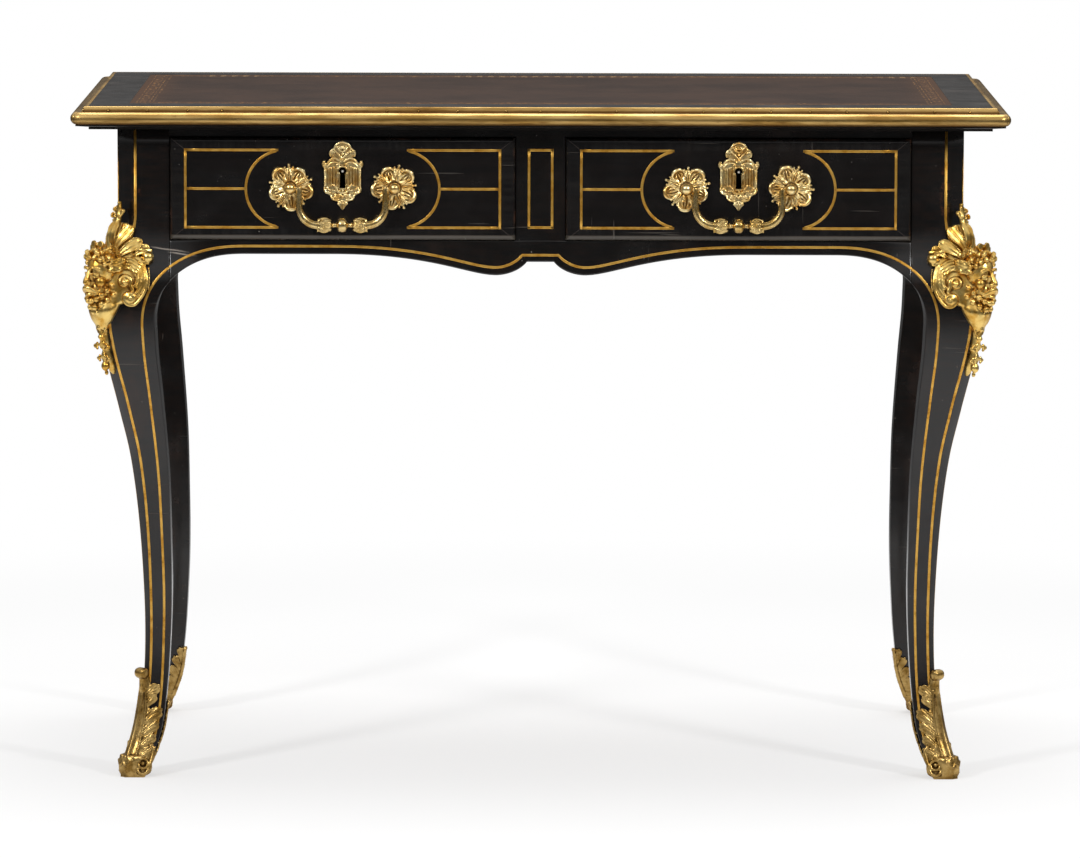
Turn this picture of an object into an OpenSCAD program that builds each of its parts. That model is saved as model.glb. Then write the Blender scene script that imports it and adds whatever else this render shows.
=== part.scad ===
// Flat-topped writing desk with two drawers, cabriole legs and gilt mounts.
// The origin is on the floor under the centre of the top. The front faces -Y.

/* [Top] */
// Width of the top over its brass edge
top_w = 1050; // [1000:5:1200]
// Depth of the top over its brass edge
top_d = 600; // [570:5:700]
// Height of the writing surface
desk_h = 762; // [740:1:790]
// Height of the brass edge moulding
edge_h = 20; // [18:0.5:24]
// Width of the brass edge moulding
edge_w = 20; // [18:0.5:24]
// Radius of the rounded nose of the moulding
nose_r = 7; // [6:0.25:8]
// Radius of the moulding's corners, seen from above
corner_r = 12; // [9:0.5:14]
// Width of the raised lip beside the border
lip_w = 5; // [3:0.5:6]
// Thickness of the wooden strip under the brass edge
strip_h = 6; // [4:0.5:9]
// How far that strip stays back from the brass nose
strip_back = 6; // [4:0.5:10]
// Thickness of that strip at its outer edge
strip_lip = 1.5; // [1:0.25:3]
// How far the foot of that strip stands out from the case
strip_foot = 4; // [2:1:10]
// Width of the wooden border round the leather
border_w = 43; // [30:1:60]
// Thickness of the leather
leather_t = 1.2; // [0.8:0.1:2]

/* [Frieze] */
// Overhang of the top past the frieze at each end
over_x = 50; // [44:1:60]
// Overhang of the top past the frieze at the front and back
over_y = 40; // [34:1:50]
// Side of the square corner posts
post_w = 59; // [56:0.5:64]
// Thickness of the frieze boards
wall_t = 22; // [19:0.5:25]
// Height of the rail over the drawers
top_rail_h = 9; // [8:0.5:12]
// Depth of the rail over the drawers, front to back
top_rail_d = 45; // [40:1:55]
// Height of the drawer openings
open_h = 116; // [104:1:124]
// Width of the mullion between the drawers
mullion_w = 55; // [50:1:70]
// Height of the apron rail over the arches
rail_h = 16.3; // [15:0.1:22]
// Width of the brass stringing
string_w = 3; // [2:0.25:4]
// Depth of the brass stringing
string_t = 1.2; // [0.8:0.1:2]

/* [Apron] */
// Half the width of the flat at the middle of the apron
flat_w = 15; // [10:0.5:24]
// Height of that flat under the tops of the arches
flat_drop = 8.2; // [6:0.2:10]
// Distance of each lobe from the middle
lobe_x = 50.5; // [44:0.5:60]
// Depth of each lobe under the tops of the arches
lobe_drop = 23.4; // [18:0.2:28]
// Where the lobe's sweep meets the arch, from the middle
sweep_x = 230; // [200:2:250]
// Width of the round end of an arch
arch_w = 102; // [96:1:108]
// Height of the round end of an arch
arch_h = 79.7; // [76:0.5:84]
// Exponent of the round end: 2 is an ellipse, more is squarer
arch_power = 2.3; // [2:0.05:2.6]
// Distance of the stringing from the apron's edge
string_in = 9; // [7:0.25:11]

/* [Legs] */
// Cant across the outer corner of a post, measured along one face
post_cant = 19; // [14:0.5:22]
// Length of the tenons on the rails
tenon_l = 22; // [16:1:26]
// Thickness of the tenons
tenon_t = 8; // [6:0.5:10]
// Number of straight cuts that follow a leg's curve
leg_cuts = 30; // [20:1:40]
// Height of a leg's corner mask
mask_h = 192; // [180:1:204]
// Height of a sabot's outer leaf
sabot_h = 112; // [96:1:124]

/* [Drawers] */
// Gap between a drawer front and its opening
front_gap = 0.8; // [0.6:0.1:0.95]
// Height of the gap under a drawer
run_gap = 0.3; // [0.2:0.05:0.5]
// How far the drawer fronts stand out from the frieze
raise = 6; // [4:0.25:8]
// Radius of the moulded edge of the drawer fronts
mould_r = 5; // [3:0.25:5.5]
// Free space behind a drawer box
back_space = 26; // [16:2:96]
// Height of the drawer sides
side_h = 100; // [80:1:102]
// Thickness of the drawer sides and back
side_t = 10; // [8:0.5:13]
// Thickness of the drawer bottoms
bottom_t = 6; // [5:0.5:8]
// Depth of the grooves that hold the drawer bottoms
groove_d = 4; // [3:0.5:5]
// Inset of the brass frame from a drawer front's top and bottom edges
frame_in = 14; // [12:0.5:16]
// Inset of the brass frame from a drawer front's ends
frame_side = 17.3; // [14:0.1:20]
// Distance from a drawer's middle to the middle of each half circle
ring_x = 65; // [60:0.5:70]

/* [Handles and locks] */
// Distance between the two posts of a handle
post_gap = 117; // [112:1:122]
// Diameter of a rosette
rosette_d = 52; // [46:1:54]
// Distance from the drawer face to the pivot of a bail
pivot_out = 14.5; // [13.5:0.25:17]
// Diameter of the ball on a handle post
ball_d = 12.5; // [11.5:0.5:14]
// Drop from a bail's pivot to the middle of its grip
bail_drop = 41.4; // [38:0.2:44]
// Diameter of a bail's arms
arm_d = 6.8; // [5:0.2:8]
// Diameter of the cups and ball on the grip
grip_d = 16.6; // [14:0.2:18]
// Diameter of the pins at the ends of a bail
pin_d = 4; // [3:0.1:4.4]
// Gap round those pins, and round pegs and screws
pin_gap = 0.08; // [0.04:0.01:0.1]
// Height of a keyhole plate
plate_h = 78.5; // [72:0.5:84]
// Width of a keyhole plate over its ears
plate_w = 45.7; // [40:0.5:50]
// Thickness of a keyhole plate
plate_t = 3; // [2:0.25:4]
// Diameter of the round part of a keyhole
key_d = 7.5; // [6.5:0.25:8.5]
// Diameter of the pin in a keyhole
key_pin_d = 3.8; // [3:0.1:4]
// Width, height and thickness of a lock case
lock_size = [56, 50, 12];
// Width, height and thickness of a lock bolt
bolt_size = [20, 30, 3];
// How far a lock bolt rises
bolt_throw = 7.5; // [5:0.25:7.5]
// Gap round a lock bolt
bolt_gap = 0.3; // [0.2:0.05:0.4]
// Gap round the bolt in the hole of the rail above it
catch_gap = 1; // [0.8:0.1:1.5]

/* [Hidden] */
$fn = 48;
// How far cutting solids run past a face, and the length of one that cuts right through
cut = 1;
through = 200;
// Fits of glued joints, leather and stringing
fit_gap = 0.1;
sink = 0.2;
edge_gap = 0.3;

case_x = top_w / 2 - over_x;
case_y = top_d / 2 - over_y;
case_top = desk_h - edge_h - strip_h;
inner_x = top_w / 2 - edge_w;
inner_y = top_d / 2 - edge_w;
leather_x = inner_x - border_w;
leather_y = inner_y - border_w;
open_top = case_top - top_rail_h;
open_bot = open_top - open_h;
arch_top = open_bot - rail_h;
knee_z = arch_top - arch_h;
bay_x = case_x - post_w;
bay_y = case_y - post_w;
drawer_x = (mullion_w / 2 + bay_x) / 2;
front_w = bay_x - mullion_w / 2 - 2 * front_gap;
front_h = open_h - run_gap - front_gap;
front_z = open_bot + run_gap;
box_d = 2 * (case_y - wall_t) - back_space;
face_y = case_y + raise;

// Oak pieces under and over the drawers
runner_t = 12;
runner_w = 40;
guide_h = 29;
under = 24;
bottom_up = 6;
screw_d = 4;
screw_l = 23;
head_d = 8;
block_w = 18;
block_l = 60;
block_spots = [bay_x * 0.275, bay_x * 0.755];
screw_spots = concat(
    [for (s = [-1, 1], y = [-150, 0, 150]) [s * (case_x - wall_t - 22), y]],
    [for (y = [-120, 120]) [0, y]]);

// Heights of the mounts on a drawer front, and small sizes of theirs
handle_z = open_bot + 59.5;
key_z = open_bot + 77.7;
plate_z = open_bot + 73.2;
key_slot = 2;
lock_top = open_top - 5;
bolt_y = case_y - wall_t - lock_size[2] / 2;
shank_d = 5;
rosette_t = 5.5;
petal_count = 8;
grip_end = 27;
neck_d = 4.5;
arm_gap = 0.3;
mullion_in = 13;
side_lobe = 40;
side_drop = 12;
side_sweep = bay_y - arch_w + 8;
toe_r = 12;
// Height of a mask over the top of the arch, and of a sabot's inner leaf
mask_top = 60;
inner_leaf_h = 80;
// Thickness of the gilt sheet of the masks and sabots, and how far it wraps behind a post's corner
mask_t = 3;
sabot_t = 2.6;
mask_wrap = 22;
// How deep the scrolls beside a mask reach into the leg's face before it is cut away
scroll_root = 5;
leaf_wrap = 42;

// Offset of a leg's outer faces from the post's outer faces, as [height, offset]
leg_out = [
    [0, -2], [23, -10], [45, -17], [90, -25], [140, -28.2], [202, -27.7], [292, -22.1],
    [arch_top - 231, -13.2], [arch_top - 177, -1.4], [arch_top - 105, 14.8], [arch_top - 59, 19.6],
    [arch_top - 25, 15.8], [arch_top + 5, 5.5], [arch_top + 35, 0], [case_top, 0]
];
// Offset of a leg's inner edges from the post's inner faces, up to the knee
leg_in = [
    [0, 31], [28, 19.5], [52, 11.6], [89, 6.4], [137, 2.6], [202, 0.1], [270, 0.7],
    [knee_z - 169, 2.9], [knee_z - 80, 10], [knee_z - 35, 14.5], [knee_z, 16.3]
];
// Cant across a leg's outer corner
leg_cant = [
    [0, 5], [165, 5.5], [300, 8], [arch_top - 165, 10.5], [arch_top - 63, 9.5],
    [arch_top - 15, 12], [arch_top + 45, post_cant], [case_top, post_cant]
];
// Distance of the inner stringing from a leg's inner edge, up to the knee
inner_string = [[0, 6], [90, 6.5], [165, 8], [knee_z - 80, 13], [knee_z, 14]];
knee_in = leg_in[len(leg_in) - 1][1];
knee_string = inner_string[len(inner_string) - 1][1];
arch_x = knee_in - arch_w;

// Smooth curve through [x, y] points, read at one x
function span_of(p, x, i = 0) = i >= len(p) - 2 || x <= p[i + 1][0] ? i : span_of(p, x, i + 1);
function slope(p, i) =
    let (a = p[max(i - 1, 0)], b = p[min(i + 1, len(p) - 1)]) (b[1] - a[1]) / (b[0] - a[0]);
function curve(p, x) =
    let (i = span_of(p, x), h = p[i + 1][0] - p[i][0], t = min(max((x - p[i][0]) / h, 0), 1))
    (1 + 2 * t) * (1 - t) ^ 2 * p[i][1] + t * (1 - t) ^ 2 * h * slope(p, i)
    + t ^ 2 * (3 - 2 * t) * p[i + 1][1] + t ^ 2 * (t - 1) * h * slope(p, i + 1);

// Points on a curve with four handles
function bezier(a, b, c, d, steps) =
    [for (i = [0 : steps]) let (t = i / steps)
        (1 - t) ^ 3 * a + 3 * (1 - t) ^ 2 * t * b + 3 * (1 - t) * t ^ 2 * c + t ^ 3 * d];

// Outline of a strip of width w that follows points
function side_step(p, i, w) =
    let (d = p[min(i + 1, len(p) - 1)] - p[max(i - 1, 0)]) p[i] + [-d[1], d[0]] * w / 2 / norm(d);
function strip(p, w) = concat(
    [for (i = [0 : len(p) - 1]) side_step(p, i, w)],
    [for (i = [len(p) - 1 : -1 : 0]) side_step(p, i, -w)]);

// Round end of an arch, w wide and h high: points by angle, the angle where it meets the post, and
// its place at a height. Across is counted from the post's inner face
function arch_points(w, h, from, to, steps) =
    [for (i = [0 : steps]) let (a = from + (to - from) * i / steps)
        [arch_x + w * cos(a) ^ (2 / arch_power), knee_z + h * sin(a) ^ (2 / arch_power)]];
function arch_end(w) = acos((-arch_x / w) ^ (arch_power / 2));
function arch_at(z) = arch_x + arch_w * (1 - (max(z - knee_z, 0) / arch_h) ^ arch_power) ^ (1 / arch_power);
joint_z = knee_z + arch_h * sin(arch_end(arch_w)) ^ (2 / arch_power);

// Offsets of a leg's faces at a height, from the post's outer or inner face
function out_at(z) = curve(leg_out, z);
function in_at(z) = z <= knee_z ? curve(leg_in, z) : z < joint_z - 0.01 ? arch_at(z) : 0;
function cant_at(z) = curve(leg_cant, z);
// Distance of the cant from the post's corner, along the diagonal
function diag_at(z) = (2 * out_at(z) - cant_at(z)) / sqrt(2);
leg_z = concat([for (i = [0 : leg_cuts]) joint_z * i / leg_cuts],
    [for (i = [1 : 4]) joint_z + (arch_top + 35 - joint_z) * i / 4], [case_top]);

// Lower edge of an apron from its middle outwards, raised by up. half is half the rail's length
function apron_edge(half, lobe, sweep, drop, up, mid) =
    let (low = arch_top + up - drop, top = arch_top + up, w = arch_w + (up > 0 ? knee_string : 0))
    concat(
        bezier([mid, arch_top - flat_drop + up * 0.85], [mid + (lobe - mid) * 0.2, low + 6],
            [mid + (lobe - mid) * 0.6, low], [lobe, low], 8),
        [for (p = bezier([lobe, low], [lobe + 30, low], [lobe + (sweep - lobe) * 0.4, top], [sweep, top], 14))
            if (p[0] > lobe) p],
        [for (p = arch_points(w, arch_h + up, 90, arch_end(w) - (up > 0 ? 4 : 0), 10)) [half + p[0], p[1]]]);

function mirrored(p) = [for (i = [len(p) - 1 : -1 : 0]) [-p[i][0], p[i][1]]];

// Extrusions along Y and X of an outline drawn in (across, height)
module along_y(from, to) { translate([0, to, 0]) rotate([90, 0, 0]) linear_extrude(to - from) children(); }
module along_x(from, to) { translate([from, 0, 0]) rotate([90, 0, 90]) linear_extrude(to - from) children(); }

// Placing. Pieces are drawn at the back right, where outwards is +X and +Y
module corner(sx, sy) {
    mirror([sx < 0 ? 1 : 0, 0, 0]) mirror([0, sy < 0 ? 1 : 0, 0]) translate([case_x, case_y, 0]) children();
}
module front_bay(side) { translate([side * drawer_x, 0, 0]) mirror([0, 1, 0]) children(); }
module back_bays() { for (side = [-1, 1]) translate([side * drawer_x, 0, 0]) children(); }
module both(x) { for (s = [-1, 1]) translate([s * x, 0, 0]) children(); }
module ebony() { color([0.1, 0.095, 0.09]) children(); }
module oak() { color([0.55, 0.42, 0.26]) children(); }
module brass() { color([0.78, 0.62, 0.3]) children(); }
module gilt() { color([0.85, 0.66, 0.26]) children(); }

// Section of the brass edge, from its inner line outwards
module edge_section() {
    difference() {
        union() {
            square([edge_w - nose_r, 2 * nose_r - 0.8]);
            translate([edge_w - nose_r, nose_r]) circle(nose_r);
            square([lip_w, edge_h]);
        }
        translate([lip_w, 2 * nose_r - 2.2]) square([1.2, edge_h]);
    }
}

// Brass edge at the back, between its mitres. half is half its inner line, out is how far back that is
module edge_bar(half, out) {
    pivot = edge_w - corner_r;
    intersection() {
        translate([0, 0, case_top + strip_h - cut]) linear_extrude(edge_h + 2 * cut)
            polygon([[-half, out], [half, out],
                [half + 2 * edge_w, out + 2 * edge_w], [-half - 2 * edge_w, out + 2 * edge_w]]);
        translate([0, 0, case_top + strip_h]) union() {
            translate([0, out, 0]) along_x(-half - pivot, half + pivot) edge_section();
            for (s = [0, 1]) mirror([s, 0, 0]) translate([half + pivot, out + pivot, 0])
                rotate_extrude(angle = 90) intersection() {
                    translate([-pivot, 0]) edge_section();
                    square([edge_w, edge_h]);
                }
        }
    }
}

module top_board() {
    ebony() difference() {
        union() {
            translate([-inner_x, -inner_y, case_top]) cube([2 * inner_x, 2 * inner_y, edge_h + strip_h]);
            intersection() {
                along_y(-top_d / 2, top_d / 2) strip_section(case_x, top_w / 2);
                along_x(-top_w / 2, top_w / 2) strip_section(case_y, top_d / 2);
            }
        }
        translate([-leather_x, -leather_y, desk_h - leather_t - sink])
            cube([2 * leather_x, 2 * leather_y, leather_t + cut]);
        for (p = screw_spots) translate([p[0], p[1], case_top - cut])
            cylinder(h = screw_l - top_rail_h + 2 * cut, d = screw_d + 2 * pin_gap);
    }
}
// Section of the strip under the brass edge, which thins out from the case to the brass nose
module strip_section(case_half, top_half) {
    side = [[case_half + strip_foot, case_top], [top_half - strip_back, case_top + strip_h - strip_lip],
        [top_half - strip_back, case_top + strip_h]];
    polygon(concat(side, mirrored(side)));
}
module leather_skin() {
    color([0.35, 0.25, 0.2]) translate([-leather_x, -leather_y, desk_h - leather_t - sink])
        cube([2 * leather_x, 2 * leather_y, leather_t]);
}
module top_edge_back() { brass() edge_bar(inner_x, inner_y); }
module top_edge_front() { brass() mirror([0, 1, 0]) edge_bar(inner_x, inner_y); }
module top_edge_left() { brass() rotate([0, 0, 90]) edge_bar(inner_y, inner_x); }
module top_edge_right() { brass() rotate([0, 0, -90]) edge_bar(inner_y, inner_x); }

module screw_shape(gap) {
    cylinder(h = screw_l, d = screw_d + 2 * gap);
    translate([0, 0, -gap]) cylinder(h = head_d / 3, d1 = head_d + 2 * gap, d2 = screw_d + 2 * gap);
}
module top_screws() {
    color([0.45, 0.44, 0.42]) for (p = screw_spots) translate([p[0], p[1], open_top]) screw_shape(0);
}

// Outline of a leg in (offset from the post's outer face, height), grown on both sides
module leg_profile(grow) {
    polygon(concat(
        [for (z = leg_z) [out_at(z) + grow, z]],
        [for (i = [len(leg_z) - 1 : -1 : 0]) [in_at(leg_z[i]) - post_w - grow, leg_z[i]]]));
}

// A leg with its post. The post's outer corner stands on the Z axis
module leg_form(grow = 0) {
    intersection() {
        along_y(-through, through) leg_profile(grow);
        along_x(-through, through) leg_profile(grow);
        rotate([0, 0, 45]) along_y(-through, through) polygon(concat(
            [for (z = leg_z) [diag_at(z) + grow, z]], [[-through, case_top], [-through, 0]]));
    }
}

// Stringing on one face of a leg: along the cant, and along the inner edge up to the rail
module leg_bands() {
    w = arch_w + knee_string;
    polygon(strip([for (z = leg_z) if (z > 30)
        [out_at(z) - cant_at(z) - string_w / 2 - edge_gap, z]], string_w));
    intersection() {
        polygon(strip(concat(
            [for (z = leg_z) if (z > 40 && z < knee_z) [in_at(z) + curve(inner_string, z) - post_w, z]],
            [for (p = arch_points(w, arch_h + string_in, 0, arch_end(w) + 4, 9)) [p[0] - post_w, p[1]]]),
            string_w));
        translate([-post_w, 0]) square([post_w, case_top]);
    }
}
module leg_string_face() {
    intersection() {
        along_y(-post_w, through) leg_bands();
        difference() {
            along_x(-post_w, through) leg_profile(0);
            translate([0, -string_t, 0]) along_x(-through, 2 * through) leg_profile(0);
        }
    }
}
module leg_string_pair() {
    leg_string_face();
    mirror([1, -1, 0]) leg_string_face();
}
module leg_strings() { brass() for (sx = [-1, 1], sy = [-1, 1]) corner(sx, sy) leg_string_pair(); }

// Tenons that enter a post: of the side frieze along Y, and of a front or back rail along X
module side_tenon(gap) {
    low = joint_z + 10;
    translate([-wall_t / 2 - tenon_t / 2 - gap, -post_w - gap, low - gap])
        cube([tenon_t + 2 * gap, tenon_l + 2 * gap, open_top - low + 2 * gap]);
}
module rail_tenon(gap, high) {
    low = joint_z + 10;
    translate([-post_w - gap, -wall_t / 2 - tenon_t / 2 - gap, low - gap])
        cube([tenon_l + 2 * gap, tenon_t + 2 * gap, high - low + 2 * gap]);
}

module leg(rail_top) {
    ebony() difference() {
        leg_form();
        leg_string_pair();
        side_tenon(pin_gap);
        rail_tenon(pin_gap, rail_top);
    }
}
module leg_front_left() { corner(-1, -1) leg(open_bot - tenon_t); }
module leg_front_right() { corner(1, -1) leg(open_bot - tenon_t); }
module leg_back_left() { corner(-1, 1) leg(open_top); }
module leg_back_right() { corner(1, 1) leg(open_top); }

// Outline of a rail with a shaped lower edge, and the stringing that follows that edge
module apron(half, lobe, sweep, drop, top) {
    edge = apron_edge(half, lobe, sweep, drop, 0, flat_w);
    polygon(concat([[half, top], [-half, top]], mirrored(edge), edge));
}
module apron_bands(half, lobe, sweep, drop) {
    edge = apron_edge(half, lobe, sweep, drop, string_in, flat_w + string_in * 0.6);
    intersection() {
        union() {
            polygon(strip(edge, string_w));
            polygon(strip(mirrored(edge), string_w));
            translate([-edge[0][0], edge[0][1] - string_w / 2]) square([2 * edge[0][0], string_w]);
        }
        translate([-half, 0]) square([2 * half, case_top]);
    }
}
module front_apron() { apron(bay_x, lobe_x, sweep_x, lobe_drop, open_bot); }
module front_apron_bands() { apron_bands(bay_x, lobe_x, sweep_x, lobe_drop); }
module side_apron_bands() { apron_bands(bay_y, side_lobe, side_sweep, side_drop); }

// Rectangle of stringing between two heights
module frame_bands(half_w) {
    low = front_z + frame_in - string_w / 2;
    high = front_z + front_h - frame_in + string_w / 2;
    difference() {
        translate([-half_w, low]) square([2 * half_w, high - low]);
        translate([-half_w + string_w, low + string_w])
            square([2 * (half_w - string_w), high - low - 2 * string_w]);
    }
}
module mullion_bands() { frame_bands(mullion_w / 2 - mullion_in); }

// Stringing of a drawer front: end lines, middle lines and two half circles
module drawer_bands() {
    h = front_h / 2 - frame_in;
    w = front_w / 2 - frame_side;
    tip = ring_x + 9;
    translate([0, front_z + front_h / 2]) for (s = [0, 1]) mirror([s, 0]) {
        translate([w - string_w / 2, -h - string_w / 2]) square([string_w, 2 * h + string_w]);
        for (z = [-h, h]) translate([tip, z - string_w / 2]) square([w - tip, string_w]);
        translate([ring_x + h, -string_w / 2]) square([w - ring_x - h, string_w]);
        intersection() {
            translate([ring_x, 0]) difference() {
                circle(h + string_w / 2);
                circle(h - string_w / 2);
            }
            translate([tip, -through]) square([through, 2 * through]);
        }
    }
}

module front_apron_rail() {
    ebony() {
        difference() {
            along_y(-case_y, -case_y + wall_t) front_apron();
            along_y(-case_y - cut, -case_y + string_t) front_apron_bands();
        }
        for (sx = [-1, 1]) corner(sx, -1) rail_tenon(0, open_bot - tenon_t);
    }
}
module front_top_rail() {
    ebony() difference() {
        translate([-bay_x, -case_y, open_top]) cube([2 * bay_x, top_rail_d, top_rail_h]);
        both(drawer_x) translate([0, -bolt_y, open_top - cut])
            bolt_block(catch_gap, bolt_throw + cut + bolt_gap);
    }
}
module mullion() {
    ebony() difference() {
        translate([-mullion_w / 2, -case_y, open_bot]) cube([mullion_w, wall_t, open_h]);
        along_y(-case_y - cut, -case_y + string_t) mullion_bands();
    }
}
module rear_frieze() {
    ebony() {
        difference() {
            along_y(case_y - wall_t, case_y) apron(bay_x, lobe_x, sweep_x, lobe_drop, case_top);
            along_y(case_y - string_t, case_y + cut) {
                front_apron_bands();
                mullion_bands();
            }
            back_bays() post_holes();
        }
        for (sx = [-1, 1]) corner(sx, 1) rail_tenon(0, open_top);
    }
}

// Board with a moulded edge all round. Its back is at depth back
module mould(size, back) {
    intersection() {
        union() {
            square([size, face_y - mould_r]);
            translate([mould_r, 0]) square([size - 2 * mould_r, face_y]);
            for (a = [mould_r, size - mould_r]) translate([a, face_y - mould_r]) circle(mould_r);
        }
        translate([0, back]) square([size, face_y]);
    }
}
module raised_board(back) {
    intersection() {
        along_x(-front_w / 2, front_w / 2) mirror([1, -1]) translate([front_z, 0]) mould(front_h, back);
        translate([-front_w / 2, 0, front_z]) linear_extrude(front_h) mould(front_w, back);
    }
}
module post_holes() {
    both(post_gap / 2) along_y(case_y - wall_t - cut, face_y + cut)
        translate([0, handle_z]) circle(shank_d / 2 + pin_gap);
}
module keyhole() {
    translate([0, key_z]) {
        circle(d = key_d);
        polygon([[-key_slot, 0], [key_slot, 0], [2 * key_slot, -2.5 * key_d], [-2 * key_slot, -2.5 * key_d]]);
    }
}

module rear_panels() {
    ebony() back_bays() difference() {
        raised_board(case_y);
        along_y(face_y - string_t, face_y + cut) drawer_bands();
        post_holes();
    }
}
module side_frieze() {
    ebony() {
        difference() {
            along_x(case_x - wall_t, case_x) apron(bay_y, side_lobe, side_sweep, side_drop, case_top);
            along_x(case_x - string_t, case_x + cut) {
                side_apron_bands();
                frame_bands(bay_y - frame_in);
            }
        }
        for (sy = [-1, 1]) corner(1, sy) side_tenon(0);
    }
}
module side_frieze_right() { side_frieze(); }
module side_frieze_left() { mirror([1, 0, 0]) side_frieze(); }

// Oak pieces that carry and guide the drawers
module bearer_rails() {
    oak() for (s = [0, 1]) mirror([0, s, 0]) translate([-bay_x, bay_y, open_bot - runner_t])
        cube([2 * bay_x, post_w - wall_t, runner_t]);
}
module drawer_runners() {
    oak() {
        translate([-runner_w, -bay_y, open_bot - runner_t]) cube([2 * runner_w, 2 * bay_y, runner_t]);
        for (s = [0, 1]) mirror([s, 0, 0]) translate([bay_x - under, -bay_y, open_bot - runner_t])
            cube([post_w - wall_t + under, 2 * bay_y, runner_t]);
    }
}
module drawer_guides() {
    oak() {
        translate([-mullion_w / 2, -case_y + wall_t, open_bot])
            cube([mullion_w, 2 * (case_y - wall_t), guide_h]);
        for (s = [0, 1]) mirror([s, 0, 0]) translate([bay_x, -bay_y, open_bot])
            cube([post_w - wall_t, 2 * bay_y, guide_h]);
    }
}
module drawer_kickers() {
    oak() difference() {
        union() {
            translate([-runner_w, -case_y + top_rail_d, open_top])
                cube([2 * runner_w, 2 * case_y - top_rail_d - wall_t, top_rail_h]);
            for (s = [0, 1]) mirror([s, 0, 0]) translate([bay_x - under, -bay_y, open_top])
                cube([post_w - wall_t + under, 2 * bay_y, top_rail_h]);
        }
        for (p = screw_spots) translate([p[0], p[1], open_top]) screw_shape(pin_gap);
    }
}
module glue_blocks() {
    oak() for (s = [-1, 1], x = block_spots) along_x(s * x - block_l / 2, s * x + block_l / 2)
        polygon([[case_y - wall_t, case_top], [case_y - wall_t - block_w, case_top],
            [case_y - wall_t, case_top - block_w]]);
}

// Drawer pieces, drawn opening towards +Y in the middle of the desk
module drawer_front() {
    ebony() difference() {
        raised_board(case_y - wall_t);
        along_y(face_y - string_t, face_y + cut) drawer_bands();
        post_holes();
        along_y(case_y - wall_t - cut, face_y + cut) keyhole();
        bottom_block(fit_gap);
    }
}
module drawer_sides() {
    oak() difference() {
        for (s = [0, 1]) mirror([s, 0, 0]) translate([front_w / 2 - side_t, case_y - wall_t - box_d, front_z])
            cube([side_t, box_d, side_h]);
        bottom_block(fit_gap);
    }
}
module drawer_back() {
    low = front_z + bottom_up + bottom_t;
    oak() translate([-front_w / 2 + side_t, case_y - wall_t - box_d, low])
        cube([front_w - 2 * side_t, side_t, front_z + side_h - 6 - low]);
}
module bottom_block(gap) {
    w = front_w / 2 - side_t + groove_d;
    translate([-w - gap, case_y - wall_t - box_d - gap, front_z + bottom_up - gap])
        cube([2 * (w + gap), box_d + groove_d + 2 * gap, bottom_t + 2 * gap]);
}
module drawer_bottom() { oak() bottom_block(0); }

// Lock on the back of a drawer front: a case with the pin of the key, and a bolt that rises
module bolt_block(gap, high) {
    translate([-bolt_size[0] / 2 - gap, -bolt_size[2] / 2 - gap, 0])
        cube([bolt_size[0] + 2 * gap, bolt_size[2] + 2 * gap, high]);
}
module lock_case() {
    gilt() difference() {
        union() {
            translate([-lock_size[0] / 2, case_y - wall_t - lock_size[2], lock_top - lock_size[1]])
                cube([lock_size[0], lock_size[2], lock_size[1]]);
            along_y(case_y - wall_t - 2, face_y + plate_t - 1) translate([0, key_z]) circle(d = key_pin_d);
        }
        translate([0, bolt_y, open_top - 1 - bolt_size[1] - bolt_gap])
            bolt_block(bolt_gap, bolt_size[1] + cut);
    }
}
module lock_bolt() {
    color([0.5, 0.49, 0.47]) translate([0, bolt_y, open_top - 1 - bolt_size[1]]) bolt_block(0, bolt_size[1]);
}

// Keyhole plate: crest of three lobes, two ears, a waisted body and a scrolled foot with a bud
module plate_outline() {
    k = plate_h / 78.5;
    translate([0, plate_z]) {
        polygon([[-plate_w * 0.25, -26 * k], [plate_w * 0.25, -26 * k], [plate_w * 0.44, -4 * k],
            [plate_w * 0.43, 14 * k], [plate_w * 0.2, 26 * k], [-plate_w * 0.2, 26 * k],
            [-plate_w * 0.43, 14 * k], [-plate_w * 0.44, -4 * k]]);
        translate([0, plate_h / 2 - 9]) circle(9);
        for (s = [-1, 1]) {
            translate([s * 8.5, plate_h / 2 - 14]) circle(7);
            translate([s * (plate_w / 2 - 6), 12.6 * k]) circle(6);
            translate([s * 11, -21 * k]) circle(7);
        }
        translate([0, -29 * k]) circle(5.5);
        translate([0, -plate_h / 2 + 3]) circle(3);
    }
}
module plate_relief() {
    k = plate_h / 78.5;
    translate([0, plate_z]) for (s = [-1, 1]) {
        translate([s * (plate_w / 2 - 6), 12.6 * k]) circle(4);
        translate([s * 11, -21 * k]) circle(4.5);
        polygon([[s * 11, -17 * k], [s * 15, -17 * k], [s * 18, 8 * k], [s * 14, 8 * k]]);
        polygon([[0, plate_h / 2 - 18], [s * 9, plate_h / 2 - 8], [s * 3, plate_h / 2 - 3],
            [0, plate_h / 2 - 2]]);
    }
}
module keyhole_plate() {
    gilt() difference() {
        union() {
            along_y(face_y, face_y + plate_t) plate_outline();
            along_y(face_y, face_y + plate_t + 1.5) plate_relief();
        }
        along_y(face_y - cut, face_y + 2 * plate_t) keyhole();
    }
}

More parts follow.
